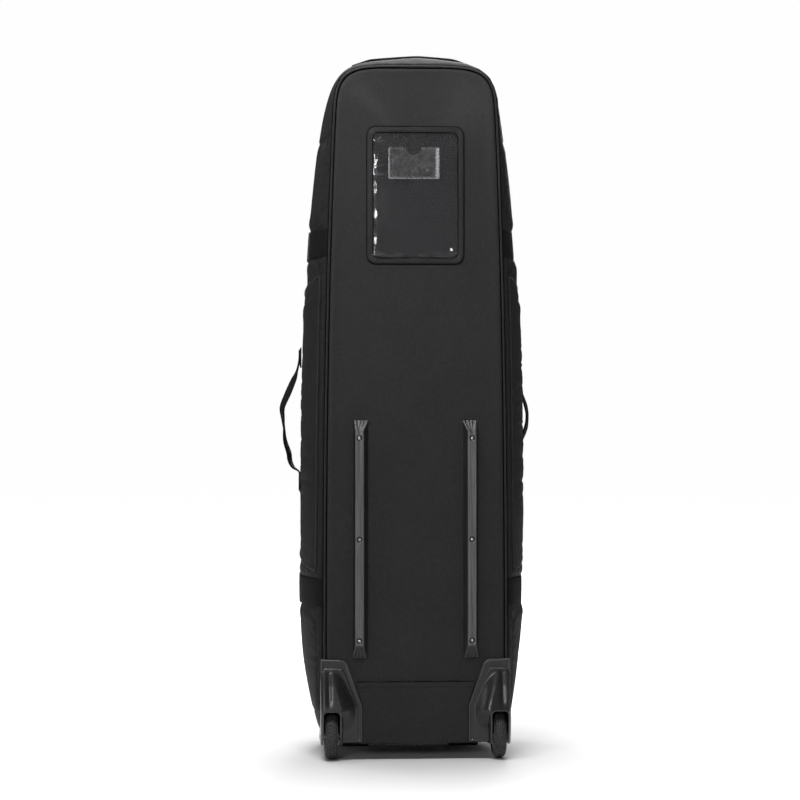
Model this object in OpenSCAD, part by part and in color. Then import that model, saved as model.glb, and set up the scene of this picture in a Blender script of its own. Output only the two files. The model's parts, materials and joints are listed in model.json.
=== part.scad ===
// Soft-sided wheeled golf travel case, standing upright on two in-line wheels and two front feet.
// +X is to the right of a person facing the wheel side, +Y points away from them, +Z is up.
// The origin is on the floor, under the middle of the case. All sizes are in millimetres.

/* [Case] */
// Height of the top of the back panel
back_top = 1281; // [1200:1:1320]
// Height of the highest point of the crown
crown_top = 1300; // [1296:1:1320]
// Height of the case's bottom edge above the floor
base_z = 30; // [28:1:34]
// Half width of the back panel at its foot
back_half = 170; // [165:1:180]
// How far the side panels bulge past the back panel
side_bulge = 41; // [30:1:44]
// Depth of the side panels, from the back seam to the front rim
gusset_depth = 230; // [220:1:240]
// Thickness of the padded fabric walls
wall = 6; // [4:0.5:7]

/* [Lid] */
// Depth of the lid's straight skirt
skirt_depth = 18; // [12:1:24]
// Height of the lid's domed front over its edge
lid_dome = 22; // [12:1:26]
// Width of each half of the zip tape
tape_w = 12; // [10:0.5:14]

/* [Wheels] */
// Diameter of the wheels
wheel_d = 89; // [84:1:90]
// Width of the wheels
wheel_w = 24; // [22:1:25]
// Distance of each wheel's middle from the case's middle plane
wheel_x = 155.2; // [154:0.2:156]
// Diameter of the axles
axle_d = 8; // [6:0.5:8]
// Outer diameter of the ball bearings
bearing_d = 22; // [19:1:22]
// Width of the ball bearings
bearing_w = 7; // [6:0.5:7]

/* [Skid rails] */
// Distance of each rail's screws from the case's middle plane
rail_x = 104; // [90:1:110]
// Height of the rails' lower ends
rail_z0 = 188; // [188:1:200]
// Length of the rails
rail_len = 438; // [400:1:450]
// Height of the rails over the back panel
rail_h = 14; // [10:1:16]

/* [Straps and handles] */
// Width of the compression straps
strap_w = 51; // [38:1:51]
// Height of the middle of the lower straps
lower_strap_z = 308; // [300:1:312]
// Height of the middle of the upper straps
upper_strap_z = 954; // [945:1:960]
// Width of the handle webbing
handle_w = 25; // [20:1:30]
// How far the side handles stand out from their ends
handle_reach = 32; // [22:1:34]
// Width of the tow handle's padded webbing
tow_w = 38; // [30:1:40]
// How far the tow handle's middle rises over its ends at rest
tow_rise = 11; // [9:1:14]

/* [Window] */
// Width of the label window over its binding
window_w = 180; // [150:1:190]
// Height of the label window over its binding
window_h = 254; // [220:1:260]
// Height of the label window's middle
window_z = 1041; // [1020:1:1050]

/* [Hidden] */
$fn = 48;

// Case frame
gap = 0.3;
back_y = -132;
panel_t = 8;
seam_y = back_y + 4.5;
rim_y = back_y + gusset_depth;
zip_y = rim_y + tape_w;
lid_y = zip_y + tape_w;
front_y = lid_y + skirt_depth;
side_top = 1150;
side_foot = 75;
front_top = back_top - 5;
gable = 4;
front_half_foot = 170;
front_half_top = 154;
round_n = 5.2;
foot_n = 7;
arc_steps = 10;

// Wheels and their housings
wheel_y = back_y + 14;
wheel_z = wheel_d / 2;
well_r = wheel_d / 2 + 4;
cheek_in = wheel_x - wheel_w / 2 - 7.6;
cheek_out = wheel_x + wheel_w / 2 + 7.4;
cheek_t = 4.8;
well_top = 97;
arch_top = 90.6;
well_front = wheel_y + well_r + 3;
housing_top = 185;
housing_in = 98.7;
flange_t = 3;
fork_back = back_y - 24;
boss_z = 128;
boss_x = [122, 158];

// Inner boards and screws
board_t = 3;
board_y = back_y + panel_t + gap;
board_top = 700;
board_half = 126;
base_board_t = 4;
base_board_half = 138;
base_lift = 1.8;
screw_r = 2.5;
hole_r = 2.6;
rail_screw_z = [for (i = [0:2]) rail_z0 + 32.5 + i * 186.3];
foot_x = 105;
foot_y = 62;
foot_screw_dx = 20;

// Superellipse helper: keeps the sign and flattens the arc
function flat_arc(c, n) = sign(c) * pow(abs(c), 2 / n);
// Half widths of the back edge and of the straight front edge at height z
function back_w(z) = back_half - 19 * pow(z / 1217, 3);
function front_w(z) =
    front_half_foot - (front_half_foot - front_half_top) * (z - 40) / (side_top - 40);
// Bulge of the side panel: it swells quickly over the base and dies away towards the crown
function swell(z) = 1 - pow(1 - min(1, max(0, (z - base_z) / 300)), 2.2);
function fade(z) = 1 - pow(min(1, max(0, (z - 700) / 590)), 2.6);
function mid_w(z) = back_w(z) + side_bulge * swell(z) * fade(z);
// How much of the bulge a point has at share v of the depth
function roundness(v) = v <= 0 || v >= 1 ? 0 : pow(sin(180 * v), 0.65);

// Point [x, z] on the edge loops; edge 0 is the back, 1 the middle, 2 the front. inset moves it inwards.
function edge_w(edge, z) = edge == 0 ? back_w(z) : edge == 1 ? mid_w(z) : front_w(z);
function edge_top(edge) = edge == 0 ? back_top : edge == 1 ? crown_top - gable : front_top;
function side_pt(edge, z, inset) = [edge_w(edge, z) - inset, z];
function crown_pt(edge, a, inset) =
    let (z = side_top + (edge_top(edge) - side_top - inset) * flat_arc(sin(a), round_n),
         x = (edge_w(edge, z) - inset) * flat_arc(cos(a), round_n))
    [x, z + (edge == 1 ? gable * (1 - abs(x) / edge_w(1, z)) * sin(a) : 0)];
function foot_pt(edge, a, inset) =
    let (z = side_foot - (side_foot - base_z - inset) * flat_arc(sin(a), foot_n))
    [(edge_w(edge, z) - inset) * flat_arc(cos(a), foot_n), z];
// Point [x, y, z] on the wall's surface, at share v of the depth, from the three edge points
function wall_pt(b, m, f, v) =
    let (p = b + (f - b) * v + (m - (b + f) / 2) * roundness(v))
    [p[0], seam_y + (rim_y - seam_y) * v, p[1]];
function side_wall_pt(z, v, inset) =
    wall_pt(side_pt(0, z, inset), side_pt(1, z, inset), side_pt(2, z, inset), v);
function crown_wall_pt(a, v, inset) =
    wall_pt(crown_pt(0, a, inset), crown_pt(1, a, inset), crown_pt(2, a, inset), v);
function foot_wall_pt(a, v, inset) =
    wall_pt(foot_pt(0, a, inset), foot_pt(1, a, inset), foot_pt(2, a, inset), v);

// Shares of the depth where the walls have a row of points
depth_rows = [0, 0.03, 0.1, 0.22, 0.36, 0.5, 0.64, 0.78, 0.9, 0.97, 1];
side_rows = [for (i = [0:13]) side_foot + (side_top - side_foot) * i / 13];
arc_rows = [for (i = [0:2 * arc_steps]) 90 * i / arc_steps];

// Closed loop of points round an edge, for flat plates and rings
function loop(edge, inset) = concat(
    [for (z = side_rows) side_pt(edge, z, inset)],
    [for (a = arc_rows) if (a > 0 && a < 180) crown_pt(edge, a, inset)],
    [for (i = [13:-1:0]) let (p = side_pt(edge, side_rows[i], inset)) [-p[0], p[1]]],
    [for (a = arc_rows) if (a > 0 && a < 180) foot_pt(edge, 180 - a, inset)]
);

// Closed sheet between two grids of points that have the same rows and columns
module sheet(outer, inner) {
    rows = len(outer);
    cols = len(outer[0]);
    n = rows * cols;
    function id(i, j) = i * cols + j;
    points = concat(
        [for (row = outer) for (p = row) p],
        [for (row = inner) for (p = row) p]
    );
    skin = [for (i = [0:rows - 2]) for (j = [0:cols - 2]) for (k = [0, 1])
        k == 0 ? [id(i, j), id(i + 1, j), id(i + 1, j + 1)] : [id(i, j), id(i + 1, j + 1), id(i, j + 1)]];
    back = [for (f = skin) [f[2] + n, f[1] + n, f[0] + n]];
    rim = concat(
        [for (j = [0:cols - 2]) [id(0, j), id(0, j + 1), id(0, j + 1) + n, id(0, j) + n]],
        [for (j = [0:cols - 2]) [id(rows - 1, j + 1), id(rows - 1, j), id(rows - 1, j) + n,
                                 id(rows - 1, j + 1) + n]],
        [for (i = [0:rows - 2]) [id(i + 1, 0), id(i, 0), id(i, 0) + n, id(i + 1, 0) + n]],
        [for (i = [0:rows - 2]) [id(i, cols - 1), id(i + 1, cols - 1), id(i + 1, cols - 1) + n,
                                 id(i, cols - 1) + n]]
    );
    polyhedron(points, concat(skin, back, rim), convexity = 6);
}

// Stands a flat drawing in [x, z] up, from y0 to y1
module upright(y0, y1) {
    translate([0, y1, 0]) rotate([90, 0, 0]) linear_extrude(y1 - y0) children();
}

// Flat ring round an edge, between two insets
module edge_ring(edge, outer_inset, inner_inset) {
    difference() {
        polygon(loop(edge, outer_inset));
        polygon(loop(edge, inner_inset));
    }
}

// The side of the case on +X, or its mirror image
module on_side(left) {
    if (left) mirror([1, 0, 0]) children();
    else children();
}

// Room that a wheel housing takes out of the fabric, flat and solid
module housing_room_2d() {
    polygon([[cheek_in - 4, 0], [230, 0], [230, well_top + 2], [cheek_in - 4, well_top + 2]]);
}
module housing_rooms() {
    for (left = [false, true]) on_side(left)
        upright(back_y - 60, well_front + 1) housing_room_2d();
}

// ---- Fabric walls ----

module back_panel() {
    color("#2b2b2d") upright(back_y, back_y + panel_t) difference() {
        polygon(loop(0, wall + 0.5));
        for (left = [false, true]) on_side(left) {
            housing_room_2d();
            for (z = rail_screw_z) translate([rail_x, z]) circle(hole_r);
            for (x = boss_x) translate([x, boss_z]) circle(hole_r);
        }
    }
}

module kick_panel() {
    color("#262628") upright(back_y - 1.4, back_y - 0.2) polygon([
        [-housing_in + 1, base_z + 8], [-housing_in + 1, 99], [-housing_in - 11, 136],
        [housing_in + 11, 136], [housing_in - 1, 99], [housing_in - 1, base_z + 8]
    ]);
}

module back_piping() {
    color("#202022") upright(back_y + 0.2, back_y + 4.2) difference() {
        edge_ring(0, 0.2, 4.2);
        for (left = [false, true]) on_side(left) translate([housing_in - 2, 0]) square([120, 190]);
    }
}

module side_panel(left) {
    color("#232325") difference() {
        on_side(left) sheet(
            [for (z = side_rows) [for (v = depth_rows) side_wall_pt(z, v, 0)]],
            [for (z = side_rows) [for (v = depth_rows) side_wall_pt(z, v, wall)]]
        );
        housing_rooms();
    }
}

module crown_panel() {
    color("#2f2f33") sheet(
        [for (a = arc_rows) [for (v = depth_rows) crown_wall_pt(a, v, 0) + [0, 0, gap]]],
        [for (a = arc_rows) [for (v = depth_rows) crown_wall_pt(a, v, wall) + [0, 0, gap]]]
    );
}

module base_panel() {
    color("#1f1f21") difference() {
        sheet(
            [for (a = arc_rows) [for (v = depth_rows) foot_wall_pt(180 - a, v, 0) - [0, 0, gap]]],
            [for (a = arc_rows) [for (v = depth_rows) foot_wall_pt(180 - a, v, wall) - [0, 0, gap]]]
        );
        housing_rooms();
        foot_screw_places() translate([0, 0, -1]) cylinder(r = hole_r, h = 30);
    }
}

// Strip of fabric along the hinge line, from y0 to y1
module hinge_strip(y0, y1) {
    color("#232325") upright(y0, y1) polygon(concat(
        [for (z = [side_foot + 12, side_top - 2]) [-front_w(z) + 0.4, z]],
        [for (z = [side_top - 2, side_foot + 12]) [-front_w(z) + 2.4, z]]
    ));
}

// ---- Boards inside ----

module back_board() {
    color("#3a3a3a") upright(board_y, board_y + board_t) difference() {
        translate([-board_half, 104]) square([2 * board_half, board_top - 104]);
        for (left = [false, true]) on_side(left) {
            for (z = rail_screw_z) translate([rail_x, z]) circle(hole_r);
            translate([boss_x[0], boss_z]) circle(hole_r);
        }
    }
}

module base_board() {
    color("#3a3a3a") difference() {
        translate([-base_board_half, back_y + panel_t + 8, base_z + wall + base_lift])
            cube([2 * base_board_half, gusset_depth - panel_t - 22, base_board_t]);
        housing_rooms();
        foot_screw_places() cylinder(r = hole_r, h = 30);
    }
}

module board_nuts() {
    color("silver") for (left = [false, true]) on_side(left) {
        for (z = rail_screw_z)
            translate([rail_x, board_y + board_t, z]) rotate([-90, 0, 0]) washer_nut();
        translate([boss_x[0], board_y + board_t, boss_z]) rotate([-90, 0, 0]) plain_washer();
        translate([boss_x[1], back_y + panel_t, boss_z]) rotate([-90, 0, 0]) plain_washer();
    }
    foot_screw_places() translate([0, 0, wall + base_lift + base_board_t]) color("silver") washer_nut();
}

module plain_washer() {
    difference() {
        cylinder(r = 7, h = 1.2);
        translate([0, 0, -1]) cylinder(r = hole_r, h = 4);
    }
}

module washer_nut() {
    difference() {
        union() {
            cylinder(r = 8, h = 1.2);
            cylinder(r = 4.4, h = 5, $fn = 6);
        }
        translate([0, 0, -1]) cylinder(r = hole_r, h = 8);
    }
}

// ---- Window ----

module rounded_box(w, h, r) {
    for (s = [-1, 1]) translate([s * (w / 2 - r), 0]) square([2 * r, h - 2 * r], center = true);
    square([w - 2 * r, h], center = true);
    for (sx = [-1, 1]) for (sz = [-1, 1])
        translate([sx * (w / 2 - r), sz * (h / 2 - r)]) circle(r);
}

module window_binding() {
    color("#27272a") upright(back_y - 2.4, back_y - 0.2) translate([0, window_z]) difference() {
        rounded_box(window_w, window_h, 17);
        rounded_box(window_w - 22, window_h - 22, 9);
    }
}

module window_film() {
    color("#4a4a50", 0.4) upright(back_y - 1.1, back_y - 0.5) translate([0, window_z])
        rounded_box(window_w - 22.4, window_h - 22.4, 8.8);
}

module card_sleeve() {
    color("#8a8a92", 0.5) upright(back_y - 1.9, back_y - 1.3) translate([-3, window_z + 59]) difference() {
        square([94, 57], center = true);
        translate([0, 28.5]) circle(14);
    }
}

// ---- Skid rails ----

module rail_section() {
    polygon([[-11, 0], [-7.7, -rail_h], [7.7, -rail_h], [17, 0]]);
}

module rail(left) {
    tail = 26;
    color("#6a6a6e") on_side(left) mirror([1, 0, 0]) translate([-rail_x, back_y - 0.2, rail_z0])
    difference() {
        union() {
            translate([0, 0, tail]) linear_extrude(rail_len - 2 * tail) rail_section();
            for (end = [0, 1]) hull() {
                translate([0, 0, end ? rail_len - tail - 0.1 : tail]) linear_extrude(0.1) rail_section();
                translate([-11, -2.5, end ? rail_len - 3 : 0]) cube([28, 2.5, 3]);
            }
        }
        for (z = rail_screw_z) translate([0, 0, z - rail_z0]) rotate([90, 0, 0]) {
            translate([0, 0, -1]) cylinder(r = hole_r, h = rail_h + 2);
            translate([0, 0, rail_h - 3.5]) cylinder(r = 5.6, h = 6);
        }
    }
}

module rail_screws() {
    color("silver") for (left = [false, true]) on_side(left) for (z = rail_screw_z)
        translate([rail_x, back_y - 0.2 - rail_h + 3.5, z]) rotate([-90, 0, 0]) {
            translate([0, 0, -3]) cylinder(r = 4.6, h = 3);
            cylinder(r = screw_r, h = rail_h + panel_t + board_t + 4);
        }
}

// ---- Wheel housings ----

module flange_outline() {
    polygon([
        [housing_in, base_z + 4], [housing_in, 100], [124, 176], [132, housing_top - 3],
        [142, housing_top], [cheek_out, housing_top + 1], [cheek_out, base_z + 4]
    ]);
}

// Outer form of the fairing that swells from the flange down to the wheel arch
module fairing(t) {
    hull() {
        translate([112 + t, back_y - 0.2, base_z + 4 + t]) rotate([90, 0, 0]) linear_extrude(flange_t + 1 - t)
            polygon([[0, 0], [0, 60], [24, 132 - 2 * t], [cheek_out - 114 - 2 * t, 134 - 2 * t],
                     [cheek_out - 112 - 2 * t, 0]]);
        translate([cheek_in + t, fork_back + 3 + t, 52])
            cube([cheek_out - cheek_in - 2 * t, 20.8 - t, 39 - t]);
    }
}

module wheel_housing(left) {
    color("#3c3d41") on_side(left) difference() {
        union() {
            upright(back_y - 0.2 - flange_t, back_y - 0.2) flange_outline();
            difference() {
                fairing(0);
                fairing(flange_t);
            }
            well_shell();
            for (x = boss_x) translate([x, back_y - 0.2, boss_z]) rotate([90, 0, 0]) cylinder(r = 4.5, h = 7);
        }
        translate([cheek_in + cheek_t, wheel_y, wheel_z]) rotate([0, 90, 0])
            cylinder(r = well_r, h = cheek_out - cheek_in - 2 * cheek_t, $fn = 96);
        translate([cheek_in + cheek_t, wheel_y - well_r, -1])
            cube([cheek_out - cheek_in - 2 * cheek_t, 2 * well_r, wheel_z + 1]);
        translate([cheek_in + cheek_t, fork_back - 5, -1])
            cube([cheek_out - cheek_in - 2 * cheek_t, wheel_y - fork_back + 5, arch_top + 1]);
        translate([cheek_in - 6, wheel_y, wheel_z]) rotate([0, 90, 0]) cylinder(r = axle_d / 2 + 0.05, h = 60);
        for (x = boss_x) translate([x, back_y + 1, boss_z]) rotate([90, 0, 0]) cylinder(r = 2, h = 7);
    }
}

// Box round the wheel: a roof, a front wall and the two cheeks that hold the axle
module well_shell() {
    translate([cheek_in, 0, 0]) rotate([90, 0, 90]) linear_extrude(cheek_out - cheek_in) difference() {
        union() {
            translate([back_y - 3, base_z]) square([well_front - back_y + 3, well_top - base_z]);
            translate([fork_back + 16, base_z + 16]) circle(16);
            translate([fork_back, base_z + 16]) square([30, 42]);
            translate([fork_back + 16, base_z]) square([40, 20]);
        }
    }
}

module housing_screws() {
    color("silver") for (left = [false, true]) on_side(left) for (i = [0, 1]) {
        head_y = i == 0 ? board_y + board_t + 1.2 : back_y + panel_t + 1.2;
        translate([boss_x[i], head_y, boss_z]) rotate([90, 0, 0]) {
            translate([0, 0, -2.4]) cylinder(r = 4, h = 2.4);
            cylinder(r = 1.95, h = head_y - back_y + 5);
        }
    }
}

// ---- Wheels ----

// Builds a wheel part about the wheel's own axis, then puts it in place
module at_wheel(left) {
    on_side(left) translate([wheel_x, wheel_y, wheel_z]) rotate([0, 90, 0]) children();
}

core_r = 29;
module tyre(left) {
    crown = 10;
    color("#2e2e30") at_wheel(left) rotate_extrude($fn = 96) polygon(concat(
        [[core_r + 0.05, -wheel_w / 2], [wheel_d / 2 - crown, -wheel_w / 2]],
        [for (a = [-75:15:75]) [wheel_d / 2 - crown + crown * cos(a), wheel_w / 2 * sin(a)]],
        [[wheel_d / 2 - crown, wheel_w / 2], [core_r + 0.05, wheel_w / 2]]
    ));
}

module wheel_core(left) {
    color("#d0d0d2") at_wheel(left) difference() {
        translate([0, 0, -10]) cylinder(r = core_r, h = 20);
        translate([0, 0, -11]) cylinder(r = bearing_d / 2 - 2, h = 22);
        for (s = [-1, 1]) translate([0, 0, s * (bearing_w + 10) / 2 - (bearing_w + 10) / 2 + s * 3.5])
            cylinder(r = bearing_d / 2, h = bearing_w + 10);
        for (i = [0:4]) rotate([0, 0, i * 72]) translate([19.5, 0, -11]) cylinder(r = 5, h = 22);
    }
}

module bearings(left) {
    color("silver") at_wheel(left) for (s = [-1, 1]) translate([0, 0, s * 7 - bearing_w / 2]) difference() {
        cylinder(r = bearing_d / 2, h = bearing_w);
        translate([0, 0, -1]) cylinder(r = axle_d / 2 + 0.05, h = bearing_w + 2);
    }
}

module axles() {
    reach = cheek_out - wheel_x;
    color("silver") for (left = [false, true]) at_wheel(left) {
        translate([0, 0, -reach - 0.4]) cylinder(r = axle_d / 2, h = 2 * reach + 0.6);
        for (s = [0, 1]) mirror([0, 0, s]) translate([0, 0, reach + 0.2]) cylinder(r = 6.4, h = 2.2);
    }
}

module axle_spacers() {
    color("silver") for (left = [false, true]) at_wheel(left) for (s = [0, 1]) mirror([0, 0, s])
        translate([0, 0, 7 + bearing_w / 2 + 0.1]) difference() {
            cylinder(r = 6.5, h = cheek_out - cheek_t - wheel_x - 7 - bearing_w / 2 - 0.3);
            translate([0, 0, -1]) cylinder(r = axle_d / 2 + 0.02, h = 12);
        }
}

// ---- Front feet ----

module foot_screw_places() {
    for (left = [false, true]) on_side(left) for (dx = [-foot_screw_dx, foot_screw_dx])
        translate([foot_x + dx, foot_y, base_z]) children();
}

module front_feet() {
    color("#2c2c2e") for (left = [false, true]) on_side(left) difference() {
        hull() {
            translate([foot_x - 35, foot_y - 17, base_z - 4.7]) cube([70, 34, 3]);
            translate([foot_x - 27, foot_y - 11, 0]) cube([54, 22, 3]);
        }
        for (dx = [-foot_screw_dx, foot_screw_dx]) translate([foot_x + dx, foot_y, -1]) {
            cylinder(r = hole_r, h = 40);
            cylinder(r = 5.4, h = 15);
        }
    }
}

module foot_screws() {
    color("silver") foot_screw_places() translate([0, 0, -base_z + 14]) {
        translate([0, 0, -3]) cylinder(r = 4.6, h = 3);
        cylinder(r = screw_r, h = base_z - 14 + wall + base_board_t + 6);
    }
}

// ---- Straps and buckles ----

strap_t = 1.8;
buckle_v = 0.8;
buckle_len = 40;
buckle_w = 58;
buckle_t = 9;

module side_strap(left, z0) {
    rows = [for (s = [-1, 0, 1]) z0 + s * strap_w / 2];
    cols = [0.015, 0.05, 0.1, 0.18, 0.28, 0.4, 0.5, 0.6, 0.7, 0.8, 0.88, 0.95, 0.985];
    color("#1b1b1c") on_side(left) sheet(
        [for (z = rows) [for (v = cols) side_wall_pt(z, v, -0.6 - strap_t)]],
        [for (z = rows) [for (v = cols) side_wall_pt(z, v, -0.6)]]
    );
}

// Puts a buckle part flat on the strap, its length along the strap, and its thickness outwards
function buckle_seat(z) = side_wall_pt(z, buckle_v, 0);
function buckle_turn(z) =
    let (a = side_wall_pt(z, buckle_v - 0.06, 0), b = side_wall_pt(z, buckle_v + 0.06, 0))
    atan2(a[0] - b[0], b[1] - a[1]);
module at_buckle(left, z) {
    on_side(left) translate(buckle_seat(z)) rotate([0, 0, buckle_turn(z)])
        translate([0.6 + strap_t + 1.6, 0, 0]) children();
}

module socket() {
    difference() {
        translate([0, -8, -buckle_w / 2]) cube([buckle_t, buckle_len, buckle_w]);
        translate([2, -9, -22]) cube([5, 33, 44]);
        translate([-1, 26, -strap_w / 2]) cube([buckle_t + 2, 3, strap_w]);
    }
}

module clip() {
    difference() {
        translate([0, -34, -buckle_w / 2]) cube([buckle_t, 25.6, buckle_w]);
        translate([-1, -22, -strap_w / 2]) cube([buckle_t + 2, 4, strap_w]);
        translate([-1, -30, -strap_w / 2]) cube([buckle_t + 2, 4, strap_w]);
    }
    for (z = [-21, -4, 15]) translate([2.4, -8.5, z]) cube([4.2, 30, z == -4 ? 8 : 6]);
}

module buckle_sockets() {
    color("#161617") for (left = [false, true]) for (z = [lower_strap_z, upper_strap_z])
        at_buckle(left, z) socket();
}

module strap_clip(left, z) {
    color("#161617") at_buckle(left, z) clip();
}

// ---- Side pockets ----

pocket_v0 = 0.08;
pocket_v1 = 0.78;
pocket_t = 3.6;
function pocket_top(v) = 898 - 80 * v;
function pocket_foot(v) = 346 + 70 * v;
function pocket_pt(s, v, lift) =
    let (z = pocket_foot(v) + (pocket_top(v) - pocket_foot(v)) * s) side_wall_pt(z, v, -lift);
function pocket_lift(s, k) = 1.2 + pocket_t * pow(sin(180 * s), 0.4) * pow(sin(180 * k), 0.4);

module side_pocket(left) {
    rows = [for (i = [0:12]) i / 12];
    cols = [for (i = [0:8]) i / 8];
    color("#242426") on_side(left) sheet(
        [for (s = rows) [for (k = cols)
            pocket_pt(s, pocket_v0 + (pocket_v1 - pocket_v0) * k, pocket_lift(s, k))]],
        [for (s = rows) [for (k = cols)
            pocket_pt(s, pocket_v0 + (pocket_v1 - pocket_v0) * k, 0.4)]]
    );
}

zip_v = 0.815;
module pocket_zips() {
    rows = [for (i = [0:8]) 410 + 390 * i / 8];
    color("#151516") for (left = [false, true]) on_side(left) sheet(
        [for (z = rows) [for (dv = [-0.02, 0.02]) side_wall_pt(z, zip_v + dv, -2.2)]],
        [for (z = rows) [for (dv = [-0.02, 0.02]) side_wall_pt(z, zip_v + dv, -0.4)]]
    );
}

// ---- Handles ----

handle_v = 0.62;
handle_z0 = 527;
handle_z1 = 722;
handle_t = 3;
handle_y = side_wall_pt(600, handle_v, 0)[1];
handle_x = side_wall_pt(505, handle_v, 0)[0] + pocket_t + 5.4;

function handle_pt(t, out) =
    [handle_x + 1.5 + (handle_reach - 1.5 - handle_t + out) * pow(sin(180 * t), 0.7) + out * 0.2,
     handle_z0 + (handle_z1 - handle_z0) * t];

// Outline of the handle seen from the side: narrow necks at the ends, so that it can swing
module handle_outline() {
    w = handle_w / 2;
    neck = 3.5;
    translate([handle_y, 0]) polygon([
        [-neck, handle_z0 - 1], [-neck, handle_z0 + 10], [-w, handle_z0 + 26], [-w, handle_z1 - 26],
        [-neck, handle_z1 - 10], [-neck, handle_z1 + 1], [neck, handle_z1 + 1], [neck, handle_z1 - 10],
        [w, handle_z1 - 26], [w, handle_z0 + 26], [neck, handle_z0 + 10], [neck, handle_z0 - 1]
    ]);
}

module side_handle(left) {
    steps = 20;
    color("#141415") on_side(left) intersection() {
        upright(handle_y - handle_w / 2 - 1, handle_y + handle_w / 2 + 1) polygon(concat(
            [for (i = [0:steps]) handle_pt(i / steps, handle_t)],
            [for (i = [steps:-1:0]) handle_pt(i / steps, 0)]
        ));
        translate([handle_x - 5, 0, 0]) rotate([90, 0, 90]) linear_extrude(60) handle_outline();
    }
}

module handle_patches() {
    color("#141415") {
        for (left = [false, true]) on_side(left) for (z = [handle_z0 - 22, handle_z1 + 22])
            translate([handle_x - 2.4, handle_y - handle_w / 2 - 4, z - 19]) cube([2.2, handle_w + 8, 38]);
        for (s = [-1, 1]) translate([s * (tow_half - 4) - 17, tow_y - tow_w / 2 - 3, tow_z - 2.6])
            cube([34, tow_w + 6, 2.2]);
    }
}

// ---- Lid ----

dome_rows = [1, 0.94, 0.84, 0.68, 0.45, 0.2];
function dome(s) = lid_dome * (1 - pow(s, 3.2));
lid_mid = [0, 650];
function dome_pt(p, s, y) = let (q = lid_mid + (p - lid_mid) * s) [q[0], y + dome(s), q[1]];

module lid_panel() {
    edge = loop(2, wall + 0.6);
    outer = [for (s = dome_rows) [for (p = concat(edge, [edge[0]])) dome_pt(p, s, front_y)]];
    n = len(edge);
    rings = len(dome_rows);
    points = concat(
        [for (s = dome_rows) for (p = edge) dome_pt(p, s, front_y)],
        [[lid_mid[0], front_y + dome(0), lid_mid[1]]],
        [for (s = dome_rows) for (p = edge) dome_pt(p, s, front_y - panel_t)],
        [[lid_mid[0], front_y - panel_t + dome(0), lid_mid[1]]]
    );
    half = n * rings + 1;
    function id(r, i) = r * n + (i % n);
    skin = concat(
        [for (r = [0:rings - 2]) for (i = [0:n - 1]) for (k = [0, 1])
            k == 0 ? [id(r, i), id(r, i + 1), id(r + 1, i + 1)] : [id(r, i), id(r + 1, i + 1), id(r + 1, i)]],
        [for (i = [0:n - 1]) [id(rings - 1, i), id(rings - 1, i + 1), n * rings]]
    );
    back = [for (f = skin) [f[2] + half, f[1] + half, f[0] + half]];
    rim = [for (i = [0:n - 1]) [id(0, i + 1), id(0, i), id(0, i) + half, id(0, i + 1) + half]];
    color("#2a2a2c") polyhedron(points, concat(skin, back, rim), convexity = 6);
}

// The straight sides of the lid's skirt, or with ends set its curved top and foot
module lid_skirt(ends) {
    color("#232325") upright(lid_y + gap, front_y - 4.4) difference() {
        edge_ring(2, 0, wall);
        if (ends) translate([-200, side_foot]) square([400, side_top - side_foot]);
        if (!ends) translate([-200, side_foot + gap - 100]) square([400, 100]);
        if (!ends) translate([-200, side_top - gap]) square([400, 200]);
    }
}

module lid_piping() {
    color("#202022") upright(front_y - 4.2, front_y - 0.2) edge_ring(2, 0.2, 4.2);
}

// The part of the front edge that the zip follows: all of it but the hinge side
module zip_stretch() {
    difference() {
        edge_ring(2, 1, 2.8);
        translate([-200, side_foot + 10]) square([100, side_top - side_foot - 10]);
    }
}

module shell_zip_tape() {
    color("#111112") upright(rim_y + gap, zip_y - gap / 2) zip_stretch();
}

module lid_zip_tape() {
    color("#111112") upright(zip_y + gap / 2, lid_y) zip_stretch();
}

// ---- Tow handle on the crown ----

tow_half = 100;
tow_t = 3.4;
tow_y = (seam_y + rim_y) / 2;
tow_z = crown_top + 1.4;
function tow_pt(t, out) =
    [-tow_half + 2 * tow_half * t, tow_z + (tow_rise - tow_t) * pow(sin(180 * t), 0.8) + out];
module tow_handle() {
    steps = 20;
    color("#141415") upright(tow_y - tow_w / 2, tow_y + tow_w / 2) polygon(concat(
        [for (i = [0:steps]) tow_pt(i / steps, 0)],
        [for (i = [steps:-1:0]) tow_pt(i / steps, tow_t)]
    ));
}

// ---- Zip sliders ----

upper_slider_z = 720;
lower_slider_z = 678;
zip_lean = atan((front_half_foot - front_half_top) / (side_top - 40));

// Puts a slider part on the straight run of the zip, leaning with it
module at_slider(z) {
    translate([front_w(z), zip_y, z]) rotate([0, -zip_lean, 0]) children();
}

module slider_body() {
    color("#4a4a4c") {
        translate([-0.6, -6.5, -11]) cube([4, 13, 22]);
        for (s = [-1, 1]) translate([3.3, s * 3.2 - 0.9, -3]) cube([4, 1.8, 6]);
        translate([5.6, 3.2, 0]) rotate([90, 0, 0]) cylinder(r = 0.9, h = 6.4);
    }
}

// Puts a pocket slider on its zip
pocket_slider_z = 770;
module at_pocket_slider(left) {
    a = side_wall_pt(pocket_slider_z, zip_v - 0.03, 0);
    b = side_wall_pt(pocket_slider_z, zip_v + 0.03, 0);
    on_side(left) translate(side_wall_pt(pocket_slider_z, zip_v, 0))
        rotate([0, 0, atan2(a[0] - b[0], b[1] - a[1])]) translate([3.9, 0, 0]) children();
}

module pocket_slider(left) {
    color("#4a4a4c") at_pocket_slider(left) {
        translate([-0.6, -4.5, -9]) cube([3.6, 9, 18]);
        translate([2.9, -1.6, -6]) cube([3, 3.2, 12]);
        translate([3.4, -1, -30]) cube([2, 2, 25]);
        translate([3, -2.5, -44]) cube([2.8, 5, 15]);
    }
}

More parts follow.
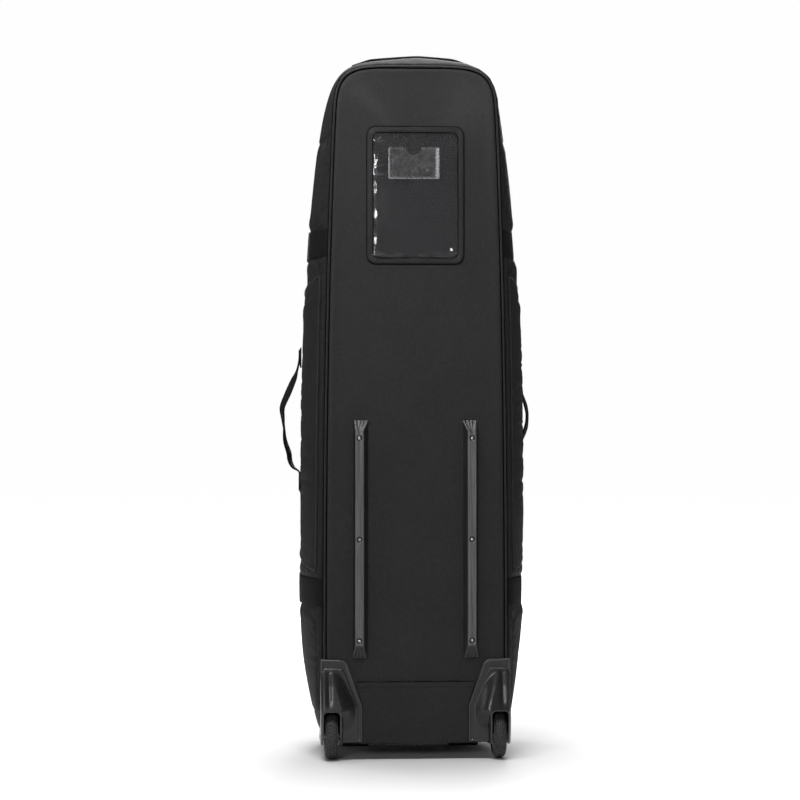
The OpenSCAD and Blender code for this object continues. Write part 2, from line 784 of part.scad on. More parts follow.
module puller_tab() {
    color("#3a3a3c") difference() {
        union() {
            translate([5.6, 1.9, 0]) rotate([90, 0, 0]) cylinder(r = 1.9, h = 3.8);
            translate([4.8, -1.9, -10]) cube([1.6, 3.8, 10]);
            translate([4.4, -4.5, -32]) cube([2.4, 9, 24]);
        }
        translate([5.6, 5, 0]) rotate([90, 0, 0]) cylinder(r = 0.95, h = 10);
    }
}

back_panel();
kick_panel();
back_piping();
side_panel(true);  // left_side_panel
side_panel(false);  // right_side_panel
crown_panel();
base_panel();
back_board();
base_board();
window_binding();
window_film();
card_sleeve();
rail(true);  // left_rail
rail(false);  // right_rail
rail_screws();
board_nuts();
wheel_housing(true);  // left_wheel_housing
wheel_housing(false);  // right_wheel_housing
housing_screws();
axles();
axle_spacers();
front_feet();
foot_screws();
side_strap(true, upper_strap_z);  // upper_left_strap
side_strap(false, upper_strap_z);  // upper_right_strap
side_strap(true, lower_strap_z);  // lower_left_strap
side_strap(false, lower_strap_z);  // lower_right_strap
buckle_sockets();
side_pocket(true);  // left_side_pocket
side_pocket(false);  // right_side_pocket
pocket_zips();
handle_patches();
shell_zip_tape();
hinge_strip(rim_y + gap, zip_y - gap);  // shell_hinge_strip
hinge_strip(zip_y + gap, lid_y);  // lid_hinge_strip
pocket_slider(true);  // left_pocket_slider
pocket_slider(false);  // right_pocket_slider
tyre(true);  // left_tyre
wheel_core(true);  // left_wheel_core
bearings(true);  // left_bearings
tyre(false);  // right_tyre
wheel_core(false);  // right_wheel_core
bearings(false);  // right_bearings
strap_clip(true, upper_strap_z);  // upper_left_clip
strap_clip(false, upper_strap_z);  // upper_right_clip
strap_clip(true, lower_strap_z);  // lower_left_clip
strap_clip(false, lower_strap_z);  // lower_right_clip
side_handle(true);  // left_handle
side_handle(false);  // right_handle
lid_panel();
lid_skirt(false);  // lid_side_skirts
lid_skirt(true);  // lid_end_skirts
lid_piping();
lid_zip_tape();
tow_handle();
at_slider(upper_slider_z) slider_body();  // upper_slider
at_slider(lower_slider_z) slider_body();  // lower_slider
at_slider(upper_slider_z) puller_tab();  // upper_puller
at_slider(lower_slider_z) puller_tab();  // lower_puller
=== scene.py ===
"""The looks of a soft-sided golf travel case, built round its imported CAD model.

Shapes are worked out in millimetres, in the CAD model's frame, and turned into metres as each mesh is made.
"""

import itertools
import json
import math

import bpy
import numpy as np
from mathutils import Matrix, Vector

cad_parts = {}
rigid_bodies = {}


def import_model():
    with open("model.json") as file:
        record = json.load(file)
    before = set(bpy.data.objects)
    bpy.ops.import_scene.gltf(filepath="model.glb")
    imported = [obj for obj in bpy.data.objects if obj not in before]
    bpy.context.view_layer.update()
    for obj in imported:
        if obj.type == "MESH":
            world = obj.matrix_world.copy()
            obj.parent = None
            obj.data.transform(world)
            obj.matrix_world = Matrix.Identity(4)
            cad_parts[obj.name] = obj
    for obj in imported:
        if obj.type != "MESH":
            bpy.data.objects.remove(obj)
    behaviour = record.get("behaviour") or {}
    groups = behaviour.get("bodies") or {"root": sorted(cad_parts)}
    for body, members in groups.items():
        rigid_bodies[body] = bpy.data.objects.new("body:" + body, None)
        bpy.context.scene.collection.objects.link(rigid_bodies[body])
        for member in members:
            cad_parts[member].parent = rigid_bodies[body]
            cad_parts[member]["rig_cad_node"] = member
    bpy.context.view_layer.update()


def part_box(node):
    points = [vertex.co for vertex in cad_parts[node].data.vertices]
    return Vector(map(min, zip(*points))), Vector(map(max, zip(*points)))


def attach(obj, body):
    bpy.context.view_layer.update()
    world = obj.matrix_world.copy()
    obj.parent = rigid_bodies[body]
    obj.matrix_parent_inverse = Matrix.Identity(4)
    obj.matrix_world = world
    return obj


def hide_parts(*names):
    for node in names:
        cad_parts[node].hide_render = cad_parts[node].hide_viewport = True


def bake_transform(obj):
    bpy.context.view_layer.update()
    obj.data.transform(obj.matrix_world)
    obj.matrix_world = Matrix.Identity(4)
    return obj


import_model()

MM = 0.001
TAU = 2 * math.pi

# ---------------------------------------------------------------- camera, light and floor

scene = bpy.context.scene
scene.view_settings.view_transform = "Standard"


def look_at(thing, target):
    direction = Vector(target) - thing.location
    thing.rotation_euler = direction.to_track_quat("-Z", "Y").to_euler()


camera = bpy.data.objects.new("camera", bpy.data.cameras.new("camera"))
camera.data.lens = 110
camera.data.sensor_width = 36
camera.location = (-0.328, -4.63, 0.663)
look_at(camera, (-0.0286, -0.132, 0.6635))
scene.collection.objects.link(camera)
scene.camera = camera


def area_light(name, location, target, size, power):
    data = bpy.data.lights.new(name, "AREA")
    data.shape = "RECTANGLE"
    data.size, data.size_y = size
    data.energy = power
    light = bpy.data.objects.new(name, data)
    light.location = location
    look_at(light, target)
    scene.collection.objects.link(light)


area_light("front_softbox", (-0.3, -1.0, 2.15), (0.0, -0.13, 1.25), (1.1, 0.4), 33)
area_light("top_softbox", (-0.1, 0.7, 3.3), (0.0, 0.0, 0.6), (2.4, 1.8), 105)
area_light("rear_softbox", (0.9, 4.2, 2.3), (0.0, 0.1, 0.75), (1.4, 1.4), 85)
area_light("left_strip", (-1.12, -4.13, 1.38), (-0.05, -0.13, 1.0), (0.45, 0.8), 34)
area_light("left_softbox", (-3.2, -1.0, 1.5), (0.0, 0.0, 0.9), (0.6, 2.0), 8)
area_light("right_softbox", (3.4, 0.6, 1.9), (0.0, 0.0, 0.9), (0.6, 2.0), 5)

FILL, BACKGROUND = 0.07, 0.99
world = bpy.data.worlds.new("studio")
world.use_nodes = True
backdrop = world.node_tree.nodes["Background"]
backdrop.inputs["Color"].default_value = (1, 1, 1, 1)
seen = world.node_tree.nodes.new("ShaderNodeLightPath")
strength = world.node_tree.nodes.new("ShaderNodeMapRange")
strength.inputs["To Min"].default_value, strength.inputs["To Max"].default_value = FILL, BACKGROUND
world.node_tree.links.new(seen.outputs["Is Camera Ray"], strength.inputs["Value"])
world.node_tree.links.new(strength.outputs[0], backdrop.inputs["Strength"])
scene.world = world

# ---------------------------------------------------------------- main sizes, from the frame


def box_mm(node):
    low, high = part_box(node)
    return [c / MM for c in low], [c / MM for c in high]


BACK_Y = box_mm("back_panel")[0][1]
RIM_Y = box_mm("left_side_panel")[1][1]
SEAM_Y = BACK_Y + 4.5
ZIP_Y = RIM_Y + 12
LID_Y = ZIP_Y + 12
FRONT_Y = box_mm("lid_piping")[1][1] + 0.2
BASE_Z = box_mm("back_piping")[0][2] - 0.2
BACK_TOP = box_mm("back_piping")[1][2] + 0.2
FRONT_TOP = BACK_TOP - 5
MID_TOP = 1296.0
GABLE = 4.0
SIDE_FOOT = 75.0
SIDE_TOP = 1150.0
ROUND_N = 5.2
FOOT_N = 7.0
WALL = 6.0
BACK, MID, FRONT = 0, 1, 2
TOP_OF = (BACK_TOP, MID_TOP, FRONT_TOP)
STRAPS_Z = (308.0, 954.0)
STRAP_W = 51.0
SIDE_DEPTH = 225  # the sides' nominal depth, which turns millimetres into depth shares
RAIL_X, RAIL_Z0, RAIL_LEN, RAIL_H = 104.0, 188.4, 438.0, 14.0

# ---------------------------------------------------------------- mesh building


def xyz(x, y, z):
    """Points from their coordinates, each an array or one number."""
    return np.stack(np.broadcast_arrays(x, y, z), -1)


class Shape:
    """Vertices in millimetres, faces, and a UV for each face corner in metres."""

    def __init__(self, points=None, faces=(), uvs=None):
        self.verts = [] if points is None else [points]
        self.count = 0 if points is None else len(points)
        self.faces, self.uvs = [], []
        self.add_faces(faces, uvs)

    def add_faces(self, faces, uvs=None):
        """More faces over the vertices there are; without UVs of their own they get zeros."""
        self.faces += faces
        self.uvs += [[(0.0, 0.0)] * len(face) for face in faces] if uvs is None else uvs

    def merge(self, other):
        if other.verts:
            self.verts.append(other.points())
            self.add_faces([[i + self.count for i in face] for face in other.faces], other.uvs)
            self.count += other.count
        return self

    def points(self):
        return np.concatenate(self.verts)

    def moved(self, points, flip=False):
        """The same faces over other points, turned inside out with flip."""
        turn = -1 if flip else 1
        return Shape(points, [face[::turn] for face in self.faces], [uv[::turn] for uv in self.uvs])

    def mirrored(self):
        return self.moved(self.points() * (-1, 1, 1), flip=True)


def unit(v):
    return v / np.maximum(np.linalg.norm(v, axis=-1, keepdims=True), 1e-9)


def run_of(steps):
    """How far along each point lies, from the lengths of the steps between the points."""
    return np.concatenate([[0], np.cumsum(steps)])


def path_run(path):
    return run_of(np.linalg.norm(np.diff(path, axis=0), axis=1))


def read_at(places, run, path):
    """The path's points at places; run says where each of its own points lies."""
    return np.stack([np.interp(places, run, path[:, k]) for k in range(path.shape[1])], -1)


def grid(points, wrap_u=False, wrap_v=False, flip=False):
    """A quad mesh through points[i, j], with UVs as long as its mean rows and columns."""
    points = np.asarray(points, float)
    nu, nv = points.shape[:2]
    closed = points
    if wrap_u:
        closed = np.concatenate([closed, closed[:1]], 0)
    if wrap_v:
        closed = np.concatenate([closed, closed[:, :1]], 1)
    along = np.linalg.norm(np.diff(closed, axis=0), axis=2).mean(1)
    across = np.linalg.norm(np.diff(closed, axis=1), axis=2).mean(0)
    uv = np.stack(np.meshgrid(run_of(along) * MM, run_of(across) * MM, indexing="ij"), 2)
    i, j = np.meshgrid(np.arange(closed.shape[0] - 1), np.arange(closed.shape[1] - 1), indexing="ij")
    i, j = i.ravel(), j.ravel()
    corners = [(i, j), (i + 1, j), (i + 1, j + 1), (i, j + 1)]
    if flip:
        corners = corners[::-1]
    faces = np.stack([(a % nu) * nv + (b % nv) for a, b in corners], 1)
    uvs = np.stack([uv[a, b] for a, b in corners], 1)
    return Shape(points.reshape(-1, 3), faces.tolist(), uvs.tolist())


def grid_normals(points, wrap_u=False):
    if wrap_u:
        du = np.roll(points, -1, 0) - np.roll(points, 1, 0)
    else:
        du = np.gradient(points, axis=0)
    return unit(np.cross(du, np.gradient(points, axis=1)))


RIM_BULGE = 0.35  # how far a slab's rim stands out, as a share of its thickness


def slab(top, thickness, normals=None):
    """A closed sheet whose outer face is the grid top, with rounded rims."""
    top = np.asarray(top, float)
    if normals is None:
        normals = grid_normals(top)
    thick = np.broadcast_to(thickness, top.shape[:2])[..., None]
    bottom = top - normals * thick
    middle = (top + bottom) / 2
    nu, nv = top.shape[:2]
    shape = grid(top).merge(grid(bottom, flip=True))
    ring = (
        [(i, 0) for i in range(nu)]
        + [(nu - 1, j) for j in range(1, nv)]
        + [(i, nv - 1) for i in range(nu - 2, -1, -1)]
        + [(0, j) for j in range(nv - 2, 0, -1)]
    )
    at = tuple(np.array(ring).T)
    inner = middle[np.clip(at[0], 1, nu - 2), np.clip(at[1], 1, nv - 2)]
    rim = middle[at] + unit(middle[at] - inner) * thick[at] * RIM_BULGE
    start, low, count = shape.count, nu * nv, len(ring)
    shape.merge(Shape(rim))
    faces = []
    for k in range(count):
        m = (k + 1) % count
        a, b = ring[k][0] * nv + ring[k][1], ring[m][0] * nv + ring[m][1]
        faces += [[a, start + k, start + m, b], [start + k, a + low, b + low, start + m]]
    shape.add_faces(faces)
    return shape


def path_frames(path, closed=False):
    """Two directions square to the path and to each other at each of its points, without twist."""
    if closed:
        tangent = unit(np.roll(path, -1, 0) - np.roll(path, 1, 0))
    else:
        tangent = unit(np.gradient(path, axis=0))
    side = np.zeros_like(path)
    seed = np.array([0.0, 0.0, 1.0]) if abs(tangent[0][2]) < 0.9 else np.array([1.0, 0.0, 0.0])
    current = unit(np.cross(tangent[0], seed))
    for i, t in enumerate(tangent):
        current = unit(current - t * np.dot(current, t))
        side[i] = current
    return side, np.cross(side, tangent)


def tube(path, radius, sides=10, closed=False):
    """A round tube along a path, with closed ends."""
    path = np.asarray(path, float)
    side, other = path_frames(path, closed)
    angle = np.arange(sides) * TAU / sides
    radius = np.broadcast_to(radius, (len(path),))[:, None, None]
    ring = side[:, None] * np.cos(angle)[None, :, None] + other[:, None] * np.sin(angle)[None, :, None]
    shape = grid(path[:, None] + ring * radius, wrap_u=closed, wrap_v=True)
    if not closed:
        last = (len(path) - 1) * sides
        shape.add_faces([list(range(sides))[::-1], list(range(last, last + sides))])
    return shape


STITCH_SIDES = 5
STITCH_SHARE = np.array([-0.5, -0.28, 0.0, 0.28, 0.5])  # places along a stitch
STITCH_HEIGHT = np.array([-0.5, 0.35, 0.6, 0.35, -0.5])  # in thread radii
STITCH_SIZE = np.array([0.25, 0.9, 1.0, 0.9, 0.25])  # in thread radii


def stitches(path, out, pitch=4.2, length=3.0, radius=0.38):
    """A row of thread stitches lying on a path; out is the way up from the cloth."""
    path = np.asarray(path, float)
    run = path_run(path)
    out = np.broadcast_to(out, path.shape)
    shape = Shape()
    angle = np.arange(STITCH_SIDES) * TAU / STITCH_SIDES
    ends = [list(range(STITCH_SIDES)), list(range(20, 20 + STITCH_SIDES))[::-1]]
    for s in np.arange(pitch / 2, run[-1], pitch):
        along = unit(read_at(min(s + 0.5, run[-1]), run, path) - read_at(max(s - 0.5, 0), run, path))
        up = unit(read_at(s, run, out))
        side = np.cross(along, up)
        centre = read_at(s, run, path) + along * (STITCH_SHARE * length)[:, None]
        centre = centre + up * (STITCH_HEIGHT * radius)[:, None]
        ring = side * np.cos(angle)[:, None] + up * np.sin(angle)[:, None]
        part = grid(centre[:, None] + ring[None] * (STITCH_SIZE * radius)[:, None, None], wrap_v=True, flip=True)
        part.add_faces(ends)
        shape.merge(part)
    return shape


# ---------------------------------------------------------------- solids from distance fields


def smooth_min(a, b, r):
    h = np.clip(0.5 + 0.5 * (b - a) / r, 0, 1)
    return b + (a - b) * h - r * h * (1 - h)


def smooth_max(a, b, r):
    return -smooth_min(-a, -b, r)


def rounded_box(p, centre, half, r):
    q = np.abs(p - np.array(centre, float)) - (np.array(half, float) - r)
    outside = np.linalg.norm(np.maximum(q, 0), axis=-1)
    return outside + np.minimum(q.max(-1), 0) - r


def rod(p, centre, axis, radius, half_length, r=0.0):
    q = p - np.array(centre, float)
    along = np.abs(q[..., axis]) - half_length + r
    others = [k for k in range(3) if k != axis]
    across = np.hypot(q[..., others[0]], q[..., others[1]]) - radius + r
    return np.hypot(np.maximum(across, 0), np.maximum(along, 0)) + np.minimum(np.maximum(across, along), 0) - r


def bar(p, a, b, radius):
    a, b = np.array(a, float), np.array(b, float)
    t = np.clip(((p - a) @ (b - a)) / ((b - a) @ (b - a)), 0, 1)
    return np.linalg.norm(p - a - t[..., None] * (b - a), axis=-1) - radius


def polygon_distance(x, z, corners):
    """Signed distance from [x, z] to a closed polygon, negative inside."""
    corners = np.asarray(corners, float)
    best = np.full(x.shape, 1e9)
    inside = np.zeros(x.shape, bool)
    for a, b in zip(corners, np.roll(corners, -1, 0)):
        e = b - a
        wx, wz = x - a[0], z - a[1]
        t = np.clip((wx * e[0] + wz * e[1]) / (e @ e), 0, 1)
        best = np.minimum(best, np.hypot(wx - e[0] * t, wz - e[1] * t))
        crosses = (a[1] > z) != (b[1] > z)
        with np.errstate(divide="ignore", invalid="ignore"):
            at = (b[0] - a[0]) * (z - a[1]) / (b[1] - a[1]) + a[0]
        inside ^= crosses & (x < at)
    return np.where(inside, -best, best)


def solid(field, low, high, step):
    """A quad mesh of the surface where field is zero, between two corners."""
    low, high = np.array(low, float) - 2 * step, np.array(high, float) + 2 * step
    counts = np.ceil((high - low) / step).astype(int) + 1
    axes = [low[k] + step * np.arange(counts[k]) for k in range(3)]
    p = np.stack(np.meshgrid(*axes, indexing="ij"), 3)
    value = field(p)
    sign = value < 0
    cells = [slice(0, -1), slice(1, None)]
    total = np.zeros(tuple(c - 1 for c in counts), int)
    for corner in itertools.product(cells, cells, cells):
        total += sign[corner]
    active = (total > 0) & (total < 8)
    index = np.full(active.shape, -1)
    index[active] = np.arange(active.sum())
    cell = np.argwhere(active)
    sums, hits = np.zeros((len(cell), 3)), np.zeros(len(cell))
    offsets = np.array(list(itertools.product((0, 1), (0, 1), (0, 1))))
    for axis in range(3):
        for offset in offsets[offsets[:, axis] == 0]:
            a = cell + offset
            b = a.copy()
            b[:, axis] += 1
            va, vb = value[tuple(a.T)], value[tuple(b.T)]
            cut = (va < 0) != (vb < 0)
            t = np.where(cut, va / np.where(va == vb, 1, va - vb), 0)
            point = a.astype(float)
            point[:, axis] += t
            sums += point * cut[:, None]
            hits += cut
    verts = low + step * sums / hits[:, None]
    h = step * 0.25
    for _ in range(4):
        f = field(verts)
        slope = np.stack([(field(verts + d) - field(verts - d)) / (2 * h) for d in np.eye(3) * h], 1)
        move = slope * (f / np.maximum((slope**2).sum(1), 0.04))[:, None]
        verts -= np.clip(move, -step / 2, step / 2)
    faces = []
    for axis in range(3):
        b, c = (axis + 1) % 3, (axis + 2) % 3
        first, second = [slice(None)] * 3, [slice(None)] * 3
        first[axis], second[axis] = slice(0, -1), slice(1, None)
        cut = sign[tuple(first)] != sign[tuple(second)]
        at = np.argwhere(cut)
        at = at[(at[:, b] > 0) & (at[:, c] > 0) & (at[:, b] < counts[b] - 1) & (at[:, c] < counts[c] - 1)]
        leaving = sign[tuple(at.T)]
        corners = []
        for db, dc in ((-1, -1), (0, -1), (0, 0), (-1, 0)):
            q = at.copy()
            q[:, b] += db
            q[:, c] += dc
            corners.append(index[tuple(q.T)])
        quad = np.stack(corners, 1)
        quad[~leaving] = quad[~leaving][:, ::-1]
        faces.append(quad)
    return Shape(verts, np.concatenate(faces).tolist())


# ---------------------------------------------------------------- smooth noise

NOISE_CELLS = 32
NOISE = np.random.default_rng(7).random((NOISE_CELLS,) * 3) * 2 - 1


def noise(p, size, seed=0):
    """Smooth noise from -1 to 1 at points p, with bumps about size across."""
    q = np.asarray(p, float) / size + seed * 7.31
    cell = np.floor(q).astype(int)
    f = q - cell
    f = f * f * (3 - 2 * f)
    out = 0
    for corner in itertools.product((0, 1), (0, 1), (0, 1)):
        wx, wy, wz = (f[..., k] if corner[k] else 1 - f[..., k] for k in range(3))
        at = (cell + corner) % NOISE_CELLS
        out = out + wx * wy * wz * NOISE[at[..., 0], at[..., 1], at[..., 2]]
    return out


def bell(x):
    return np.exp(-(x**2))


def ease(x):
    x = np.clip(x, 0, 1)
    return x * x * (3 - 2 * x)


# ---------------------------------------------------------------- the case's outer surface


def back_w(z):
    return 170 - 19 * (np.maximum(z, 0) / 1217) ** 3


def front_w(z):
    return 170 - 16 * (z - 40) / (SIDE_TOP - 40)


def mid_w(z):
    swell = 1 - (1 - np.clip((z - BASE_Z) / 300, 0, 1)) ** 2.2
    fade = 1 - np.clip((z - 700) / 590, 0, 1) ** 2.6
    return back_w(z) + (41 - 4 * ease((z - 315) / 105)) * swell * fade


WIDTH_OF = (back_w, mid_w, front_w)


def half_ellipse(n, count):
    t = np.linspace(0, np.pi, count)
    c, s = np.cos(t), np.maximum(np.sin(t), 0)
    r = (np.abs(c) ** n + s**n) ** (-1 / n)
    return r * c, r * s


def edge_loop(edge, inset=0.0):
    """Closed loop of [x, z] round one edge of the gusset, from the right foot round over the crown."""
    width = WIDTH_OF[edge]
    z = np.linspace(SIDE_FOOT, SIDE_TOP, 700)
    right = np.stack([width(z) - inset, z], 1)
    c, s = half_ellipse(ROUND_N, 900)
    z = SIDE_TOP + (TOP_OF[edge] - SIDE_TOP - inset) * s
    x = (width(z) - inset) * c
    if edge == MID:
        z = z + GABLE * (1 - np.abs(x) / width(z)) * s ** (ROUND_N / 2)
    crown = np.stack([x, z], 1)
    c, s = half_ellipse(FOOT_N, 900)
    z = SIDE_FOOT - (SIDE_FOOT - BASE_Z - inset) * s
    foot = np.stack([-(width(z) - inset) * c, z], 1)
    left = right[::-1] * (-1, 1)
    return np.concatenate([right[:-1], crown[:-1], left[:-1], foot[:-1]])


def loop_shares(count):
    """Places of count points, evenly spaced along the middle loop, in the dense loop's index."""
    dense = edge_loop(MID)
    step = np.linalg.norm(np.roll(dense, -1, 0) - dense, axis=1)
    run = run_of(step)
    return np.interp(np.arange(count) * run[-1] / count, run, np.arange(len(run)))


def sample(loop, places):
    """The loop's points at places counted in its own points."""
    return read_at(places, np.arange(len(loop) + 1), np.concatenate([loop, loop[:1]]))


def roundness(v):
    return np.sin(np.pi * np.clip(v, 0, 1)) ** 0.65


def wall_points(places, v, inset=0.0):
    """Points on the gusset at loop places and depth shares v, as a grid."""
    back, middle, front = (sample(edge_loop(e, inset), places)[:, None] for e in (BACK, MID, FRONT))
    v = np.asarray(v, float)[None, :, None]
    flat = back + (front - back) * v + (middle - (back + front) / 2) * roundness(v)
    y = np.broadcast_to(SEAM_Y + (RIM_Y - SEAM_Y) * v, flat.shape[:2] + (1,))
    return np.concatenate([flat[..., :1], y, flat[..., 1:]], 2)


def side_points(z, v, lift=0.0):
    """Points on the right side panel at heights z and depth shares v, as arrays of one shape."""
    z, v = np.broadcast_arrays(np.asarray(z, float), np.asarray(v, float))

    def place(zz, vv):
        b, m, f = back_w(zz), mid_w(zz), front_w(zz)
        x = b + (f - b) * vv + (m - (b + f) / 2) * roundness(vv)
        return xyz(x, SEAM_Y + (RIM_Y - SEAM_Y) * vv, zz)

    here = place(z, v)
    du = place(z + 1, v) - here
    dv = place(z, np.clip(v + 0.004, 0, 1)) - place(z, np.clip(v - 0.004, 0, 1))
    normal = unit(np.cross(dv, du))
    return here + normal * (np.asarray(lift, float)[..., None] + strap_dip(z, v)[..., None]), normal


def strap_dip(z, v):
    """How far the tight straps pull the fabric in, and how it swells beside them."""
    out = 0
    for strap in STRAPS_Z:
        d = np.abs(z - strap) / (STRAP_W / 2)
        out = out - 3.6 * np.exp(-(d**6)) + 1.6 * bell((d - 1.55) / 0.4)
    return out * roundness(v)


# ---------------------------------------------------------------- materials


class Nodes:
    """A material's node tree, with short calls to add to it."""

    def __init__(self, name):
        self.material = bpy.data.materials.new(name)
        self.material.use_nodes = True
        self.tree = self.material.node_tree
        self.tree.nodes.clear()
        self.shader = self.add("ShaderNodeBsdfPrincipled")
        self.link(self.shader.outputs[0], self.add("ShaderNodeOutputMaterial").inputs[0])

    def add(self, kind, **settings):
        node = self.tree.nodes.new(kind)
        for key, value in settings.items():
            setattr(node, key, value)
        return node

    def link(self, a, b):
        self.tree.links.new(a, b)

    def put(self, socket, value):
        if isinstance(value, bpy.types.NodeSocket):
            self.link(value, socket)
        else:
            socket.default_value = value

    def math(self, operation, a, b=0.0, c=0.0):
        node = self.add("ShaderNodeMath", operation=operation)
        for socket, value in zip(node.inputs, (a, b, c)):
            self.put(socket, value)
        return node.outputs[0]

    def plus(self, a, b):
        return self.math("ADD", a, b)

    def times(self, a, b):
        return self.math("MULTIPLY", a, b)

    def about_half(self, pattern, weight):
        """A pattern's departure from its middle value, times weight."""
        return self.times(self.math("SUBTRACT", pattern, 0.5), weight)

    def wave(self, place, per_metre):
        """A rectified sine: one hump each time place times per_metre grows by pi."""
        return self.math("ABSOLUTE", self.math("SINE", self.times(place, per_metre)))

    def axes(self, vector):
        node = self.add("ShaderNodeSeparateXYZ")
        self.link(vector, node.inputs[0])
        return node.outputs

    def scaled(self, vector, scale):
        node = self.add("ShaderNodeMapping")
        self.link(vector, node.inputs["Vector"])
        node.inputs["Scale"].default_value = scale
        return node.outputs[0]

    def noise(self, vector, scale, detail=3.0, rough=0.55):
        node = self.add("ShaderNodeTexNoise")
        self.link(vector, node.inputs["Vector"])
        node.inputs["Scale"].default_value = scale
        node.inputs["Detail"].default_value = detail
        node.inputs["Roughness"].default_value = rough
        return node.outputs[0]

    def ramp(self, value, low, high, a, b):
        node = self.add("ShaderNodeMapRange")
        for key, v in (("Value", value), ("From Min", low), ("From Max", high), ("To Min", a), ("To Max", b)):
            self.put(node.inputs[key], v)
        return node.outputs[0]

    def mix(self, factor, a, b):
        node = self.add("ShaderNodeMix", data_type="RGBA")
        self.put(node.inputs["Factor"], factor)
        self.put(node.inputs["A"], a)
        self.put(node.inputs["B"], b)
        return node.outputs["Result"]

    def colour(self, factor, a, b):
        """The base colour, mixed from a to b."""
        self.link(self.mix(factor, a, b), self.shader.inputs["Base Color"])

    def roughness(self, pattern, low, high):
        """Roughness from low to high over the middle of a noise pattern."""
        self.link(self.ramp(pattern, 0.3, 0.7, low, high), self.shader.inputs["Roughness"])

    def bump(self, height, distance):
        node = self.add("ShaderNodeBump")
        node.inputs["Strength"].default_value = 1.0
        node.inputs["Distance"].default_value = distance
        self.link(height, node.inputs["Height"])
        self.link(node.outputs[0], self.shader.inputs["Normal"])

    def set(self, **values):
        for key, value in values.items():
            self.shader.inputs[key.replace("_", " ")].default_value = value

    @property
    def uv(self):
        return self.add("ShaderNodeTexCoord").outputs["UV"]

    @property
    def place(self):
        return self.add("ShaderNodeTexCoord").outputs["Object"]


def grey(value, tint=1.03):
    return (value, value, value * tint, 1.0)


def woven(name, dark, light, thread=0.0009, rough=0.8, sheen=0.25, bump=0.00022, specular=0.3):
    """Plain-woven polyester: threads over and under each other, uneven yarns and soft dirt."""
    n = Nodes(name)
    uv = n.scaled(n.uv, (1 / thread, 1 / thread, 1))
    across, along, _ = n.axes(uv)
    check = n.add("ShaderNodeTexChecker")
    n.link(uv, check.inputs["Vector"])
    check.inputs["Scale"].default_value = 1
    warp_on_top = check.outputs["Fac"]
    warp = n.times(n.wave(across, math.pi), warp_on_top)
    weft = n.times(n.wave(along, math.pi), n.math("SUBTRACT", 1.0, warp_on_top))
    over = n.plus(warp, weft)
    yarn = n.noise(n.scaled(n.uv, (1, 18, 1)), 160, 2)
    blotch = n.noise(n.place, 9, 4)
    grain = n.noise(n.place, 900, 2)
    slub = n.noise(n.scaled(n.place, (1, 1, 0.6)), 330, 2)
    tone = n.plus(n.times(over, 0.35), n.times(yarn, 0.4))
    for pattern, weight in ((blotch, 0.9), (grain, 0.7), (slub, 1.3)):
        tone = n.plus(tone, n.about_half(pattern, weight))
    n.colour(n.ramp(tone, 0.0, 1.0, 0.0, 1.0), dark, light)
    n.roughness(blotch, rough - 0.06, rough + 0.06)
    n.set(Sheen_Weight=sheen, Sheen_Roughness=0.45, Specular_IOR_Level=specular)
    n.bump(n.plus(over, n.times(yarn, 0.5)), bump)
    return n.material


def webbing(name, dark, light):
    """Heavy woven webbing: chevron ribs across it."""
    n = Nodes(name)
    across, along, _ = n.axes(n.uv)
    zig = n.math("PINGPONG", along, 0.0032)
    phase = n.plus(n.times(across, TAU / 0.0024), n.times(zig, TAU / 0.0032))
    rib = n.plus(n.times(n.math("SINE", phase), 0.5), 0.5)
    rows = n.wave(along, math.pi / 0.0016)
    fuzz = n.noise(n.place, 700, 2)
    n.colour(n.plus(n.times(rib, 0.5), n.times(fuzz, 0.5)), dark, light)
    n.set(Roughness=0.65, Sheen_Weight=0.0, Specular_IOR_Level=0.12)
    n.bump(n.plus(rib, n.times(rows, 0.5)), 0.0004)
    return n.material


def moulded(name, dark, light, rough=0.42, grain=0.00006, worn=0.0, coat=0.0, grain_size=900, scuffed=None):
    """Moulded plastic or rubber: fine grain, slight blotches, edges worn pale, and a scuffed face between two y."""
    n = Nodes(name)
    place = n.place
    blotch = n.noise(place, 22, 4)
    fine = n.noise(place, grain_size, 3)
    colour = n.mix(n.ramp(blotch, 0.3, 0.7, 0.0, 1.0), dark, light)
    if worn:
        edge = n.add("ShaderNodeNewGeometry").outputs["Pointiness"]
        scuffs = n.noise(n.scaled(place, (260, 260, 18)), 1.0, 4, 0.7)
        wear = n.plus(n.ramp(edge, 0.505, 0.56, 0.0, 1.0), n.ramp(scuffs, 0.6, 0.74, 0.0, 0.6))
        wear = n.times(n.math("MINIMUM", wear, 1.0), worn)
        colour = n.mix(wear, colour, grey(0.34))
    if scuffed:
        drag = n.noise(n.scaled(place, (420, 420, 9)), 1.0, 5, 0.7)
        face = n.times(n.ramp(n.axes(place)[1], *scuffed, 0.0, 1.0), n.ramp(drag, 0.35, 0.68, 0.25, 1.0))
        colour = n.mix(face, colour, grey(0.125))
    n.link(colour, n.shader.inputs["Base Color"])
    n.roughness(fine, rough - 0.05, rough + 0.08)
    n.set(Coat_Weight=coat, Coat_Roughness=0.25)
    n.bump(n.plus(fine, n.times(blotch, 0.3)), grain)
    return n.material


def metal(name, colour, rough=0.28):
    n = Nodes(name)
    streak = n.noise(n.scaled(n.place, (900, 900, 120)), 1.0, 3)
    n.colour(streak, colour, grey(colour[0] * 0.7))
    n.roughness(streak, rough - 0.06, rough + 0.1)
    n.set(Metallic=1.0)
    n.bump(streak, 0.00002)
    return n.material


